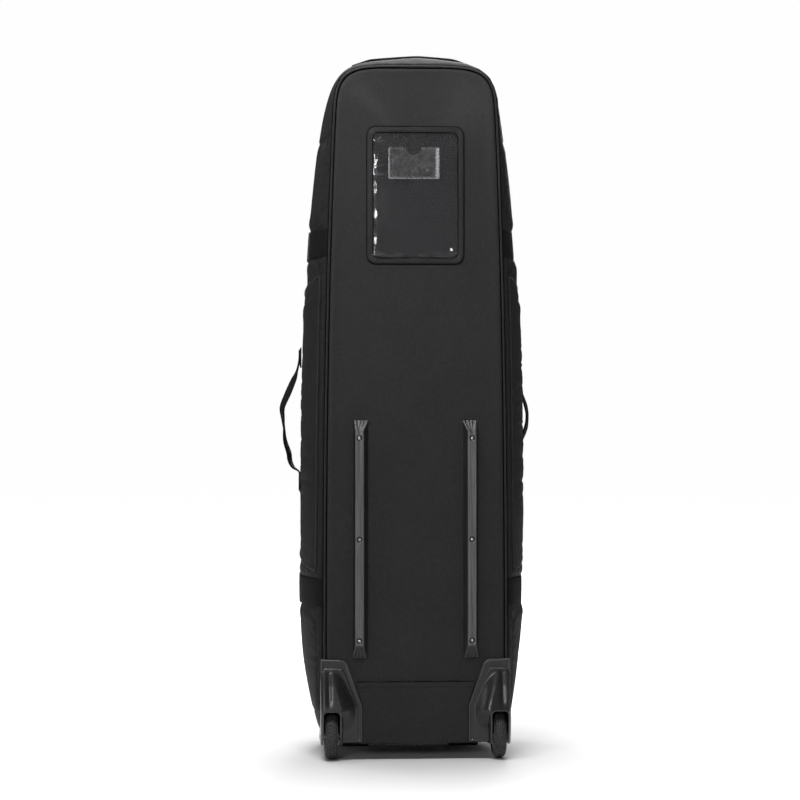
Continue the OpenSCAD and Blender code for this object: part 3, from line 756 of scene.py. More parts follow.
def vinyl(name, tint, rough, clear, haze):
    """Soft clear or frosted vinyl, slightly wavy and dusty."""
    n = Nodes(name)
    dust = n.noise(n.place, 160, 4)
    n.set(Transmission_Weight=clear, IOR=1.45)
    n.colour(n.ramp(dust, 0.35, 0.75, 0.0, haze), tint, grey(0.75))
    n.roughness(dust, rough, rough + 0.08)
    n.bump(n.noise(n.place, 26, 3), 0.0005)
    return n.material


SLEEVE_LENGTH = 0.0955  # the card sleeve's long way in its UVs


def sleeve_vinyl():
    """Frosted vinyl with pale welded edges and cloudy patches."""
    n = Nodes("sleeve_vinyl")
    up, along, _ = n.axes(n.uv)
    side = n.math("MINIMUM", along, n.math("SUBTRACT", SLEEVE_LENGTH, along))
    frayed = n.noise(n.place, 420, 4, 0.7)
    edge = n.plus(n.math("MINIMUM", side, up), n.about_half(frayed, 0.003))
    weld = n.ramp(edge, 0.0006, 0.0032, 1.0, 0.0)
    cloud = n.ramp(n.noise(n.place, 60, 5, 0.65), 0.42, 0.66, 0.0, 0.5)
    n.colour(n.times(weld, 0.8), n.mix(cloud, grey(0.1), grey(0.27)), grey(0.8))
    n.roughness(frayed, 0.16, 0.34)
    n.set(Transmission_Weight=0.75, IOR=1.4)
    n.bump(n.plus(cloud, n.times(frayed, 0.4)), 0.0006)
    return n.material


M = {
    "back": woven("back_polyester", grey(0.008), grey(0.02), rough=0.56, sheen=0.03),
    # A darker copy of the back panel's polyester: painted shade for the sides, carried onto every piece made of it.
    "side": woven("side_polyester", grey(0.004), grey(0.013), rough=0.6, sheen=0.0, specular=0.24),
    "lining": woven("lining_fabric", grey(0.03), grey(0.055), 0.0005, 0.6, 0.05, 0.0001),
    "binding": woven("binding_tape", grey(0.007), grey(0.019), 0.0007, 0.45, 0.04, 0.0002),
    # Near-black cloth for the thin tubes that paint shade along seams and edges.
    "shade": woven("shaded_fold", grey(0.001), grey(0.002), rough=0.9, sheen=0.0, specular=0.03),
    "webbing": webbing("strap_webbing", grey(0.002), grey(0.008)),
    "thread": woven("thread", grey(0.012), grey(0.03), 0.0004, 0.5, 0.05),
    "housing": moulded("housing_plastic", grey(0.006), grey(0.011), 0.3, worn=0.1, coat=0.2),
    "rail": moulded("rail_plastic", grey(0.004), grey(0.008), 0.42, worn=0.18, scuffed=(-0.1447, -0.1459)),
    "buckle": moulded("buckle_plastic", grey(0.007), grey(0.012), 0.38, worn=0.08),
    "tyre": moulded("tread_rubber", grey(0.011), grey(0.02), 0.6, 0.0002, worn=0.16, grain_size=400),
    "foot": moulded("foot_rubber", grey(0.012), grey(0.022), 0.6, 0.0002, grain_size=300),
    "core": moulded("core_plastic", grey(0.42), grey(0.5), 0.4),
    "board": moulded("board_plastic", grey(0.04), grey(0.06), 0.5),
    "steel": metal("zinc_steel", grey(0.62, 1.0)),
    "zip_metal": metal("zip_metal", grey(0.12, 1.0), 0.34),
    "zip": woven("zip_tape", grey(0.004), grey(0.012), 0.0008, 0.6, 0.03, 0.0003),
    "clear": vinyl("clear_vinyl", grey(0.9), 0.06, 0.99, 0.04),
    "frosted": sleeve_vinyl(),
}


def piece(name, shape, material, body, stands_for=()):
    """Makes a shape into a Blender object that rides on a body."""
    mesh = bpy.data.meshes.new(name)
    mesh.from_pydata((shape.points() * MM).tolist(), [], shape.faces)
    mesh.materials.append(M[material])
    corners = np.array([c for face in shape.uvs for c in face], np.float32)
    mesh.uv_layers.new(name="UVMap").data.foreach_set("uv", corners.ravel())
    mesh.polygons.foreach_set("use_smooth", np.full(len(mesh.polygons), True))
    mesh.validate()
    mesh.update()
    thing = bpy.data.objects.new(name, mesh)
    scene.collection.objects.link(thing)
    if body:
        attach(thing, body)
    if stands_for:
        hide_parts(*stands_for)
    return thing


def pair(name, shape, material, body, stands_for=()):
    """A right piece and its mirror image; {} in the name, the body and the nodes becomes the side."""
    return [
        piece(name.format(side), made, material, body.format(side), tuple(n.format(side) for n in stands_for))
        for side, made in (("right", shape), ("left", shape.mirrored()))
    ]


# ---------------------------------------------------------------- gusset and panels

LOOP_COUNT = 760
PLACES = loop_shares(LOOP_COUNT)


def without(shape, inside):
    """The shape without the faces whose middle is inside(x, y, z)."""
    points = shape.points()
    kept, uvs = [], []
    for face, uv in zip(shape.faces, shape.uvs):
        centre = points[face].mean(0)
        if not inside(*centre):
            kept.append(face)
            uvs.append(uv)
    used = np.unique([i for face in kept for i in face])
    index = np.full(len(points), -1)
    index[used] = np.arange(len(used))
    return Shape(points[used], [[int(index[i]) for i in face] for face in kept], uvs)


def in_housing(x, y, z):
    return 133.0 < abs(x) < 172.0 and z < 98.0 and y < -68


def at_foot_corner(x, y, z):
    """Whether a point of the back edge lies under a wheel housing's flange."""
    return abs(x) > 104 and z < 176


def loop_path(edge, inset, y):
    """The gusset's edge loop, inset, at a depth or at one depth for each of its points."""
    loop = sample(edge_loop(edge, inset), PLACES)
    return xyz(loop[:, 0], y, loop[:, 1])


def cloth_noise(x, z, size, seed):
    """Noise over a flat panel."""
    return noise(xyz(x, 0, z), size, seed)


SETTLE_FRAMES = 22
SWELL_REACH = 4  # grid steps over which the cloth's broad swell is averaged away


def relaxed_cloth(width, height, step, slack, held=()):
    """The grid step, and the rise in mm over a grid of height by width, of slack cloth that is
    sewn down round its rim and across the held bands."""
    rows, columns = int(height / step) + 1, int(width / step) + 1
    z, x = np.meshgrid(np.arange(rows) * step, np.arange(columns) * step, indexing="ij")
    start = np.random.default_rng(5).random(z.shape) * 0.6
    index = np.arange(rows * columns).reshape(rows, columns)
    faces = np.stack([index[:-1, :-1], index[:-1, 1:], index[1:, 1:], index[1:, :-1]], -1).reshape(-1, 4)
    mesh = bpy.data.meshes.new("relaxed")
    mesh.from_pydata((xyz(x, z, -start).reshape(-1, 3) * MM).tolist(), [], faces.tolist())
    thing = bpy.data.objects.new("relaxed", mesh)
    scene.collection.objects.link(thing)
    sewn = (z == 0) | (z == z.max()) | (x == 0) | (x == x.max())
    for low, high in held:
        sewn |= (z > low) & (z < high)
    thing.vertex_groups.new(name="sewn").add(index[sewn].tolist(), 1.0, "REPLACE")
    cloth = thing.modifiers.new("cloth", "CLOTH")
    s = cloth.settings
    s.quality, s.mass, s.air_damping = 6, 0.25, 4.0
    s.tension_stiffness = s.compression_stiffness = 18
    s.shear_stiffness, s.bending_stiffness = 6, 0.35
    s.shrink_min = -slack
    s.vertex_group_mass = "sewn"
    s.effector_weights.gravity = 0.25
    cloth.point_cache.frame_start, cloth.point_cache.frame_end = 1, SETTLE_FRAMES
    for now in range(1, SETTLE_FRAMES + 1):
        scene.frame_set(now)
    done = thing.evaluated_get(bpy.context.evaluated_depsgraph_get())
    rise = np.array([v.co[2] for v in done.data.vertices]).reshape(rows, columns) / -MM
    bpy.data.objects.remove(thing)
    bpy.data.meshes.remove(mesh)
    scene.frame_set(1)
    wide = np.pad(rise, SWELL_REACH, mode="edge")
    near = range(-SWELL_REACH, SWELL_REACH + 1)
    swell = np.mean([np.roll(wide, shift, (0, 1)) for shift in itertools.product(near, near)], 0)
    return step, rise - swell[SWELL_REACH:-SWELL_REACH, SWELL_REACH:-SWELL_REACH]


SHOWN, GAIN = 2.2, 2.0  # the most, in mm, that padding shows of a wrinkle, and how strongly small ones show


def wrinkles(cloth, across, up):
    """The relaxed cloth's wrinkles at places across and up it, in mm, limited to what padding would show."""
    step, rise = cloth
    across, up = np.broadcast_arrays(across / step, up / step)
    rows, columns = rise.shape
    inside = (across > 0) & (up > 0) & (across < columns - 1) & (up < rows - 1)
    i, j = np.clip(up.astype(int), 0, rows - 2), np.clip(across.astype(int), 0, columns - 2)
    fi, fj = np.clip(up - i, 0, 1), np.clip(across - j, 0, 1)
    low = rise[i, j] * (1 - fj) + rise[i, j + 1] * fj
    high = rise[i + 1, j] * (1 - fj) + rise[i + 1, j + 1] * fj
    value = (low * (1 - fi) + high * fi) * inside
    return SHOWN * np.tanh(GAIN * value / SHOWN)


side_cloth = relaxed_cloth(222, 1074, 6, 0.009, [(s - 105, s - 45) for s in STRAPS_Z])


def crown_roof(x, v):
    """How far the soft crown stands up under the carry webbing, as a low roof."""
    return 8.0 * np.clip(1 - np.abs(x - 12) / 125, 0, 1) * np.sin(np.pi * np.clip(v, 0, 1)) ** 0.7


def build_gusset():
    depth = RIM_Y - SEAM_Y
    near = np.array([0.0, 0.8, 1.8, 3.0, 4.4, 6.0, 7.8, 9.8, 12.0, 14.5])
    middle = np.linspace(17.5, depth - 17.5, 44)
    run = np.concatenate([near, middle, depth - near[::-1]])
    v = run / depth
    base = wall_points(PLACES, v)
    normals = -grid_normals(base, wrap_u=True)
    from_back, from_front = run[None, :], depth - run[None, :]
    x, y, z = np.moveaxis(base, -1, 0)
    sideways = ease((np.abs(normals[..., 0]) - 0.3) / 0.4)
    lift = strap_dip(z, v[None, :]) * sideways
    pucker = noise(xyz(x, y * 0.12, z), 9, 3) + 0.6 * noise(xyz(x, y * 0.2, z), 4.5, 5)
    for edge in (from_back, from_front):
        lift = lift - 3.0 * bell(edge / 2.0) + 1.3 * bell((edge - 7.5) / 4.2) - 1.1 * bell((edge - 14.5) / 2.4)
        lift = lift + pucker * np.exp(-((edge / 24) ** 2)) * ease(edge / 3)
    inner = ease(from_back / 30) * ease(from_front / 30)
    folds = noise(xyz(x * 0.3, y + z * 0.35, z * 0.45), 46, 11)
    lift = lift + inner * (1.3 * folds + 1.6 * noise(base, 95, 2)) * (0.4 + 0.6 * sideways)
    under_pocket = ease((z - 335) / 25) * ease((905 - z) / 25)
    lift = lift + wrinkles(side_cloth, from_back - 3, z - 75) * sideways * (1 - 0.8 * under_pocket)
    points = base + normals * lift[..., None]
    points[..., 2] += crown_roof(x, v[None, :]) * ease((z - 1240) / 45)
    return without(grid(points, wrap_u=True, flip=True), in_housing)


gusset = piece(
    "gusset", build_gusset(), "side", "case",
    ("left_side_panel", "right_side_panel", "crown_panel", "base_panel"),
)


def spine_rings(loop, shares, low=150.0, high=1120.0):
    """Rings shrinking from a loop of [x, z] onto a spine on the middle plane."""
    centre = np.stack([np.zeros(len(loop)), np.clip(loop[:, 1], low, high)], 1)
    return centre[None] + (loop - centre)[None] * np.asarray(shares)[:, None, None], centre


PANEL_INSET = 4.0  # from a gusset edge to its panel's seam
SEAM_DISTANCES = np.array([0, 0.7, 1.6, 2.8, 4.4, 6.4, 9, 12, 15.5, 20, 26, 33])


def panel_rings(edge):
    """x, z and the distance from a panel's seam, for rings close together by the seam and then
    evenly spaced on to the middle."""
    loop = sample(edge_loop(edge, PANEL_INSET), PLACES)
    near = 1 - SEAM_DISTANCES / np.abs(loop[:, 0]).max()
    shares = np.concatenate([near, np.linspace(near[-1], 0.0, 34)[1:]])
    rings, centre = spine_rings(loop, shares)
    gap = (1 - shares)[:, None] * np.linalg.norm(loop - centre, axis=1)[None]
    return rings[..., 0], rings[..., 1], gap


def build_back_panel():
    x, z, gap = panel_rings(BACK)
    rise = -2.6 * bell(gap / 3.2) + 0.9 * bell((gap - 9) / 7)
    pucker = cloth_noise(x, z, 8, 21) + 0.6 * cloth_noise(x, z, 4.2, 22)
    rise = rise + 0.75 * pucker * np.exp(-gap / 15) * ease(gap / 2.5) * (0.45 + 0.55 * ease((z - 900) / 350))
    rise = rise + 0.7 * cloth_noise(x, z, 120, 24) * ease(gap / 30) - 0.5 * ease(gap / 30)
    for rail_x in (-RAIL_X, RAIL_X):
        near = bell((x - rail_x) / 22) * ease((z - 165) / 30) * ease((650 - z) / 30)
        rise = rise - 0.8 * near
    return without(grid(xyz(x, BACK_Y - np.minimum(rise, 1.0), z), wrap_v=True), in_housing)


back_panel = piece("back_panel_cover", build_back_panel(), "back", "case", ("back_panel",))


def build_piping(edge, y):
    path = loop_path(edge, 2.1, y)
    wobble = noise(path, 30, 31) * 0.25
    path = path + xyz(wobble, 0, wobble)
    return tube(path, 2.05 + 0.12 * noise(path, 6, 33), 10, closed=True)


back_piping = without(build_piping(BACK, BACK_Y + 1.3), at_foot_corner)
piece("back_piping_cord", back_piping, "binding", "case", ("back_piping",))


def piping_folds():
    """Painted shade: near-black tubes on both sides of the back piping."""
    shape = Shape()
    for inset, depth, radius in ((4.9, 0.9, 1.15), (-0.3, 3.7, 1.1)):
        shape.merge(tube(loop_path(BACK, inset, BACK_Y + depth), radius, 8, closed=True))
    return without(shape, at_foot_corner)


# The back piping's painted shade lines, in near-black cloth.
piece("back_piping_folds", piping_folds(), "shade", "case")


KICK_SEAMS = (132.0, 141.0)
OUT_OF_BACK = (0, -1, 0)


def build_kick_panel():
    z = np.concatenate([np.linspace(33.5, 126, 40), np.linspace(128, 143, 14)])
    share = np.linspace(-1, 1, 90)
    half = np.where(z < 99, 97.5, 97.5 + (np.minimum(z, 140) - 99) * 0.30)
    x = share[None] * half[:, None]
    zz = np.broadcast_to(z[:, None], x.shape)
    seam, second_seam = KICK_SEAMS
    lift = 1.3 + 0.5 * cloth_noise(x, zz, 40, 41) - bell((zz - seam) / 1.6) - 0.9 * bell((zz - second_seam) / 1.4)
    lift = lift + 0.35 * cloth_noise(x, zz * 0.2, 7, 42) * bell((zz - seam) / 12)
    sag = 4.0 * (1 - share[None] ** 2) * ease((44 - zz) / 12)
    shape = slab(xyz(x, BACK_Y - lift, zz - sag), 1.4)
    for row in KICK_SEAMS:
        path = xyz(np.linspace(-106, 106, 60), BACK_Y - 0.75, row)
        shape.merge(stitches(path, OUT_OF_BACK, 4.6, 3.1, 0.4))
    return shape


kick_panel = piece("kick_panel_cover", build_kick_panel(), "back", "case", ("kick_panel",))


def kick_panel_folds():
    """Painted shade: near-black tubes along the kick panel's turned top edge and its second seam."""
    shape = Shape()
    for row, depth, half in ((133.4, 1.15, 105.5), (143.6, 0.5, 108.5)):
        run = np.linspace(-half, half, 70)
        shape.merge(tube(xyz(run, BACK_Y - depth, row + 0.5 * np.sin(run / 9)), 0.8, 8))
    return shape


# The kick panel's painted shade lines, in near-black cloth.
piece("kick_panel_folds", kick_panel_folds(), "shade", "case")

# ---------------------------------------------------------------- label window

WINDOW_W, WINDOW_H, WINDOW_Z = 180.0, 254.0, 1041.0
BINDING_W = 11.5


def rounded_rectangle(width, height, r, step=2.0):
    """Closed path of [x, z] round a rectangle with round corners, with its outward directions."""
    points, out = [], []
    for cx, cz, a0 in ((1, -1, -90), (1, 1, 0), (-1, 1, 90), (-1, -1, 180)):
        centre = np.array([cx * (width / 2 - r), cz * (height / 2 - r)])
        for a in np.radians(np.linspace(a0, a0 + 90, max(int(r * 1.6 / step), 4))):
            points.append(centre + r * np.array([math.cos(a), math.sin(a)]))
            out.append([math.cos(a), math.sin(a)])
    dense, normal = [], []
    for k in range(len(points)):
        a, b = points[k], points[(k + 1) % len(points)]
        count = max(int(np.linalg.norm(b - a) / step), 1)
        for t in np.arange(count) / count:
            dense.append(a + (b - a) * t)
            normal.append(np.array(out[k]) * (1 - t) + np.array(out[(k + 1) % len(points)]) * t)
    return np.array(dense), unit(np.array(normal))


def build_window_binding():
    path, out = rounded_rectangle(WINDOW_W - 1, WINDOW_H - 1, 16.5)
    share = np.linspace(0, 1, 11)
    profile = 2.3 * (1 - np.abs(2 * share - 1) ** 3.5) ** 0.6 - 0.6 * bell((share - 0.75) / 0.07)
    points = []
    for p, o in zip(path, out):
        ripple = 0.22 * cloth_noise(*p, 6, 51) + 0.3 * cloth_noise(*p, 25, 52)
        joint = 0.8 * ease((8 - abs(p[0])) / 1.5)
        row = p[None] - o[None] * (share[:, None] * (BINDING_W + 5 * abs(o[0] * o[1])))
        height = profile * (1 + ripple) + joint * (profile > 0.4)
        points.append(xyz(row[:, 0], BACK_Y - 0.2 - height, row[:, 1] + WINDOW_Z))
    points = np.array(points)
    under = points[:, ::-1].copy()
    under[..., 1] = BACK_Y + 0.3
    return grid(np.concatenate([points, under[:, 1:-1]], 1), wrap_u=True, wrap_v=True)


piece("window_binding_tape", build_window_binding(), "binding", "case", ("window_binding",))


def window_path(inset, corner, height):
    """Closed path round the window, a height over the back panel."""
    path, _ = rounded_rectangle(WINDOW_W - inset, WINDOW_H - inset, corner)
    return xyz(path[:, 0], BACK_Y - height, path[:, 1] + WINDOW_Z)


def window_edge_folds():
    """Painted shade: near-black tubes where the binding meets the panel and the film."""
    shape = Shape()
    for inset, corner, height in ((0.3, 16.5, 0.45), (2 * BINDING_W - 0.6, 11.5, 1.6)):
        shape.merge(tube(window_path(inset, corner, height), 0.75, 8, closed=True))
    return shape


# The window's painted shade lines, in near-black cloth.
piece("window_edge_folds", window_edge_folds(), "shade", "case")

stitch_line = window_path(2 * BINDING_W - 5.5, 12, 1.75)
stitch_line = np.concatenate([stitch_line, stitch_line[:1]])
piece("window_stitches", stitches(stitch_line, OUT_OF_BACK, 4.0, 2.8, 0.36), "thread", "case")


FILM_HALF_W, FILM_HALF_H = 79.4, 116.4
# pressed-up creases at the film's edges: left end, middle height, half height, run to full height, height
CREASES = (
    (-77.5, 64, 13, 6.5, 1.05), (-77, 44, 6, 5, 0.85), (-76, 14, 9, 3, 0.5), (-77, -103, 6, 7.5, 1.25),
    (63, -101, 6, 6.5, 1.55), (-77, 103, 3, 4, 0.7), (-60, -110, 2.5, 30, 1.5),
)


def build_window_film():
    x, z = np.meshgrid(np.linspace(-FILM_HALF_W, FILM_HALF_W, 150), np.linspace(-FILM_HALF_H, FILM_HALF_H, 210))
    edge = np.minimum(FILM_HALF_W - np.abs(x), FILM_HALF_H - np.abs(z))
    lift = 1.0 + 0.9 * ease(edge / 12) * (0.7 + 0.6 * cloth_noise(x, z, 60, 61))
    lift = lift + 0.55 * cloth_noise(x, z, 16, 62) * np.exp(-edge / 11) + 0.12 * cloth_noise(x, z, 9, 63)
    for start_x, middle_z, half_z, run, high in CREASES:
        climb = high * np.clip((x - start_x) / run, 0, 1)
        lift = lift + climb * bell(((z - middle_z) / half_z) ** 2) * ease((start_x + 26 - x) / 14)
    return slab(xyz(x, BACK_Y - lift, z + WINDOW_Z), 0.45)


window_film = piece("window_film_sheet", build_window_film(), "clear", "case", ("window_film",))


SLEEVE_HALF_W, SLEEVE_HALF_H, NOTCH_R = 47, 28.5, 14


def build_card_sleeve():
    """The sleeve with the thumb notch in its top edge."""
    x, z = np.meshgrid(np.linspace(-SLEEVE_HALF_W, SLEEVE_HALF_W, 96), np.linspace(-SLEEVE_HALF_H, SLEEVE_HALF_H, 58))
    notch = SLEEVE_HALF_H - np.sqrt(np.maximum(NOTCH_R**2 - x**2, 0))
    top = np.where(np.abs(x) < NOTCH_R, notch, SLEEVE_HALF_H)
    z = -SLEEVE_HALF_H + (z + SLEEVE_HALF_H) * (top + SLEEVE_HALF_H) / (2 * SLEEVE_HALF_H)
    edge = np.minimum(SLEEVE_HALF_W - np.abs(x), z + SLEEVE_HALF_H)
    weld = bell((edge - 2.2) / 1.1) * 0.55
    patch = np.maximum(cloth_noise(x, z, 9, 71), 0) * 0.25 * ease(edge / 5)
    return slab(xyz(x - 3, BACK_Y - (2.55 + weld + patch), z + WINDOW_Z + 59), 0.4)


card_sleeve = piece("card_sleeve_sheet", build_card_sleeve(), "frosted", "case", ("card_sleeve",))

# ---------------------------------------------------------------- skid rails

RAIL_SCREW_Z = [RAIL_Z0 + 32.5 + 186.3 * k for k in range(3)]
TAIL = 25.0  # how far each end slopes down


def rail_field(p):
    """The right rail about its screw line: x outwards, y up from the panel, z along."""
    x, y, z = p[..., 0], p[..., 1], p[..., 2]
    from_end = np.minimum(z, RAIL_LEN - z)
    t = ease(np.clip(1 - from_end / TAIL, 0, 1))
    height = RAIL_H - (RAIL_H - 1.8) * np.clip(1 - from_end / TAIL, 0, 1) ** 1.25
    shift = np.where(z > RAIL_LEN / 2, -3.0, 0.0) * t
    half_top = 7.7 + 4.9 * t
    outer, inner = 11.0 + 1.2 * t, 17.0 - 2.0 * t
    rise = np.clip(y / np.maximum(height, 1), 0, 1)
    right = x - (outer + (half_top - outer) * rise + shift)
    left = -(inner + (half_top - inner) * rise - shift + x)
    body = smooth_max(np.maximum(right, left) * 0.93, (y - height) * 0.9, 1.6)
    body = np.maximum(np.maximum(body, -y), -from_end)
    groove = np.hypot(x, (y - height - 0.7)) - 1.1
    body = smooth_max(body, -groove * 0.9, 0.5)
    for k in (-1, 0, 1):
        line = x - shift * 1.2 - k * (1.2 + 5.6 * t)
        flute = np.hypot(line, y - height - 1.7) - (2.0 + 0.9 * t)
        flute = np.maximum(flute, from_end - TAIL)
        body = smooth_max(body, -flute * 0.85, 0.7)
    for zs in RAIL_SCREW_Z:
        hole = rod(p, (0, RAIL_H, zs - RAIL_Z0), 1, 5.3, 3.6, 0.3)
        body = smooth_max(body, -hole, 0.6)
    return body


def build_rail():
    shape = solid(rail_field, (-18, 0, 0), (13, RAIL_H, RAIL_LEN), 0.9)
    x, y, z = shape.points().T
    return shape.moved(xyz(x + RAIL_X, BACK_Y - 0.1 - y, z + RAIL_Z0), flip=True)


pair("{}_rail_moulding", build_rail(), "rail", "case", ("{}_rail",))


def screw_head_field(p):
    head = smooth_max(np.linalg.norm(p - (0, -3.4, 0), axis=-1) - 5.2, rod(p, (0, 0, 0), 1, 3.7, 3.0, 0.4), 0.4)
    for a, b in (((-2.2, 2.2, 0), (2.2, 2.2, 0)), ((0, 2.2, -2.2), (0, 2.2, 2.2))):
        head = smooth_max(head, -bar(p, a, b, 0.75), 0.25)
    return np.maximum(head, -p[..., 1])


def build_rail_screws():
    head = solid(screw_head_field, (-4, 0, -4), (4, 2.4, 4), 0.32)
    x, y, z = head.points().T
    shape = Shape()
    for side in (-1, 1):
        for k, screw_z in enumerate(RAIL_SCREW_Z):
            turn = 0.5 + 0.9 * k + side
            c, s = math.cos(turn), math.sin(turn)
            turned = xyz(side * RAIL_X + x * c - z * s, BACK_Y - RAIL_H + 3.4 - y, screw_z + x * s + z * c)
            shape.merge(head.moved(turned, flip=True))
            shape.merge(tube(xyz(side * RAIL_X, np.array([BACK_Y - RAIL_H + 3.5, BACK_Y + 14]), screw_z), 2.4, 12))
    return shape


piece("rail_screw_set", build_rail_screws(), "steel", "case", ("rail_screws",))

# ---------------------------------------------------------------- wheel housings

WHEEL_X, WHEEL_Y, WHEEL_Z = 155.2, BACK_Y + 14, 44.5
CHEEK = 174.8  # the housing's outer face
FLANGE = [(98.7, 33.5), (98.7, 100), (126, 178), (131, 183), (139, 184.6), (CHEEK, 186), (CHEEK, 33.5)]
TIER = [(107, 33.5), (107, 98), (132, 163), (137, 168), (168.5, 169), (CHEEK, 150), (CHEEK, 33.5)]
TIER_WIDE = [(106, 28), (106, 99), (131, 165), (172, 167), (CHEEK, 160), (CHEEK, 28)]
# how far the fairing stands out from the back at each height
FAIRING_Z = (29, 36, 48, 70, 92, 112, 138, 158, 166)
FAIRING_RISE = (14, 20, 24, 26.3, 25.5, 21.5, 14.5, 7.5, 4.0)


def housing_field(p):
    x, y, z = p[..., 0], p[..., 1], p[..., 2]
    plane = BACK_Y - 0.2
    outline = polygon_distance(x, z, FLANGE)
    plate = np.maximum(outline, np.abs(y - plane + 1.5) - 1.5)
    bead = np.hypot(outline + 1.7, y - plane + 2.6) - 1.9
    body = smooth_min(plate, bead, 1.0)
    tier = polygon_distance(x, z, TIER)
    tier = smooth_max(tier, np.abs(y - plane + 2.6) - 2.6, 1.4)
    body = smooth_min(body, np.maximum(tier, x - CHEEK), 0.8)
    slant = np.clip((z - 98) / 66, 0, 1)
    across = np.clip((x - (105 + 26 * slant)) / (33 - 8 * slant), 0, 1)
    bulge = np.interp(z, FAIRING_Z, FAIRING_RISE) * np.sin(across * np.pi / 2) ** 1.15
    low = ease((z - 40) / 55)
    bulge = bulge * (low + (1 - low) * ease((x - 133.5) / 4))
    bulge = bulge - 5.5 * ease((x - 169.5) / 5.5) - 1.4 * bell((x - 160) / 4.5) * ease((z - 95) / 20)
    front = (plane - bulge - y) * 0.5
    footline = 33.5 - 4.5 * ease((x - 133.5) / 3)
    front = smooth_max(front, (footline - z) * 0.8, 2.0)
    front = np.maximum(np.maximum(front, polygon_distance(x, z, TIER_WIDE)), np.maximum(x - CHEEK, y + 126))
    body = smooth_min(body, front, 1.4)
    body = smooth_min(body, rounded_box(p, (153.6, -99, 63), (21.2, 33, 34), 3), 1.5)
    well = rod(p, (WHEEL_X, WHEEL_Y, WHEEL_Z), 0, 48.5, 14.8, 2.0)
    mouth = rounded_box(p, (WHEEL_X, WHEEL_Y - 40, WHEEL_Z - 2), (14.8, 42, 48.1), 7.5)
    below = rounded_box(p, (WHEEL_X, WHEEL_Y, -10), (14.8, 48.5, 54), 1.0)
    room = np.minimum(np.minimum(well, mouth), below)
    body = smooth_max(body, -room, 1.2)
    bore = rod(p, (WHEEL_X, WHEEL_Y, WHEEL_Z), 0, 6.9, 30)
    return np.maximum(body, -bore)


housing = solid(housing_field, (98, -160, 29), (175.6, -65, 187), 1.15)
pair("{}_housing_moulding", housing, "housing", "case", ("{}_wheel_housing",))

# ---------------------------------------------------------------- wheels


def build_tyre():
    """The right tyre: a rounded tread with a centre rib and staggered knobs."""
    around, radius, half = 900, 44.5, 12.0
    core, crown = 29.05, 10.0
    knobs, knob_height = 38, 1.6
    profile = [(core, -half + 0.3), (core + 1.5, -half), (radius - crown - 1, -half)]
    for a in np.radians(np.linspace(-80, 80, 45)):
        profile.append((radius - crown + crown * math.cos(a), half * math.sin(a)))
    profile += [(radius - crown - 1, half), (core + 1.5, half), (core, half - 0.3)]
    profile = np.array(profile)
    theta = np.arange(around) * TAU / around
    r, w = profile[:, 0][None], profile[:, 1][None]
    tread = ease((r - 38) / 2)
    rows = np.zeros((around, len(profile)))
    for k, centre in enumerate((-8.2, -4.2, 4.2, 8.2)):
        phase = (theta[:, None] * knobs / TAU + 0.5 * (k % 2)) % 1 - 0.5
        lateral = (w - centre) / 2.1
        rows = np.maximum(rows, 1 - ease(np.hypot(phase / 0.38, lateral) * 2.4 - 1.6))
    rib = 1 - ease(np.abs(w) / 0.9 * 1.4 - 0.6)
    rows = np.maximum(rows, rib)
    reach = r + (rows - 1) * knob_height * tread
    y, z = WHEEL_Y + reach * np.cos(theta)[:, None], WHEEL_Z + reach * np.sin(theta)[:, None]
    return grid(xyz(w + WHEEL_X, y, z), wrap_u=True, wrap_v=True, flip=True)


pair("{}_tyre_tread", build_tyre(), "tyre", "{}_wheel", ("{}_tyre",))

# ---------------------------------------------------------------- straps

V_STRAP = np.linspace(0.0, 0.99, 120)


def build_strap(z0):
    rows = z0 + np.linspace(-0.5, 0.5, 15) * STRAP_W
    vv, zz = np.meshgrid(V_STRAP, rows, indexing="ij")
    ripple = 0.25 * noise(xyz(vv * SIDE_DEPTH, 0, zz * 0.2), 20, 81)
    lift = 1.9 + ripple - 0.35 * np.abs((zz - z0) / (STRAP_W / 2)) ** 8
    lift = lift - strap_dip(zz, vv) + np.minimum(strap_dip(np.full_like(zz, z0), vv), 0)
    lift = lift - 1.6 * bell(vv / 0.015)
    points, normal = side_points(zz, vv, lift)
    return slab(points, 1.7, normal)


for level, z0 in zip(("lower", "upper"), STRAPS_Z):
    pair("{}_" + level + "_strap_webbing", build_strap(z0), "webbing", "case", (level + "_{}_strap",))

# ---------------------------------------------------------------- buckles

BUCKLE_V = 0.8


def socket_field(p):
    body = rounded_box(p, (4.5, 12, 0), (4.5, 20, 29), 3.2)
    body = np.maximum(body, -rounded_box(p, (4.5, 6, 0), (2.6, 19, 22.5), 1.5))
    body = smooth_max(body, -rounded_box(p, (4.5, 27.5, 0), (9, 1.7, 25.6), 1.2), 0.8)
    for side in (-1, 1):
        body = smooth_max(body, -rounded_box(p, (4.5, 9, side * 27), (3.6, 8, 5.5), 2.5), 0.8)
    grip = np.hypot(p[..., 0] - 10.4, (p[..., 1] - 8) * 0.8) - 2.2 + 0.03 * np.abs(p[..., 2])
    return smooth_max(body, -grip, 0.8)


def clip_field(p):
    body = rounded_box(p, (4.5, -21, 0), (4.3, 12.6, 29), 3.2)
    for y in (-20.2, -28.2):
        body = smooth_max(body, -rounded_box(p, (4.5, y, 0), (9, 1.9, 25.6), 1.2), 0.8)
    for z in (-19.5, 0, 19.5):
        prong = rounded_box(p, (4.5, 6, z), (2.1, 15.4, 2.9), 1.2)
        body = smooth_min(body, prong, 1.0)
    return body


def place_on_buckle(shape, z):
    """Bends a buckle part over the side: x becomes height over the strap, y runs forwards along it."""
    x, y, up = shape.points().T
    height = 2.6 + x * (0.86 - 0.3 * ease((-12 - y) / 24) - 0.2 * ease((y - 14) / 18))
    v = BUCKLE_V + y / ((RIM_Y - SEAM_Y) * 1.03)
    points, _ = side_points(z + up, v, height - strap_dip(z + up, v) + strap_dip(np.full(len(v), z), v))
    return shape.moved(points)


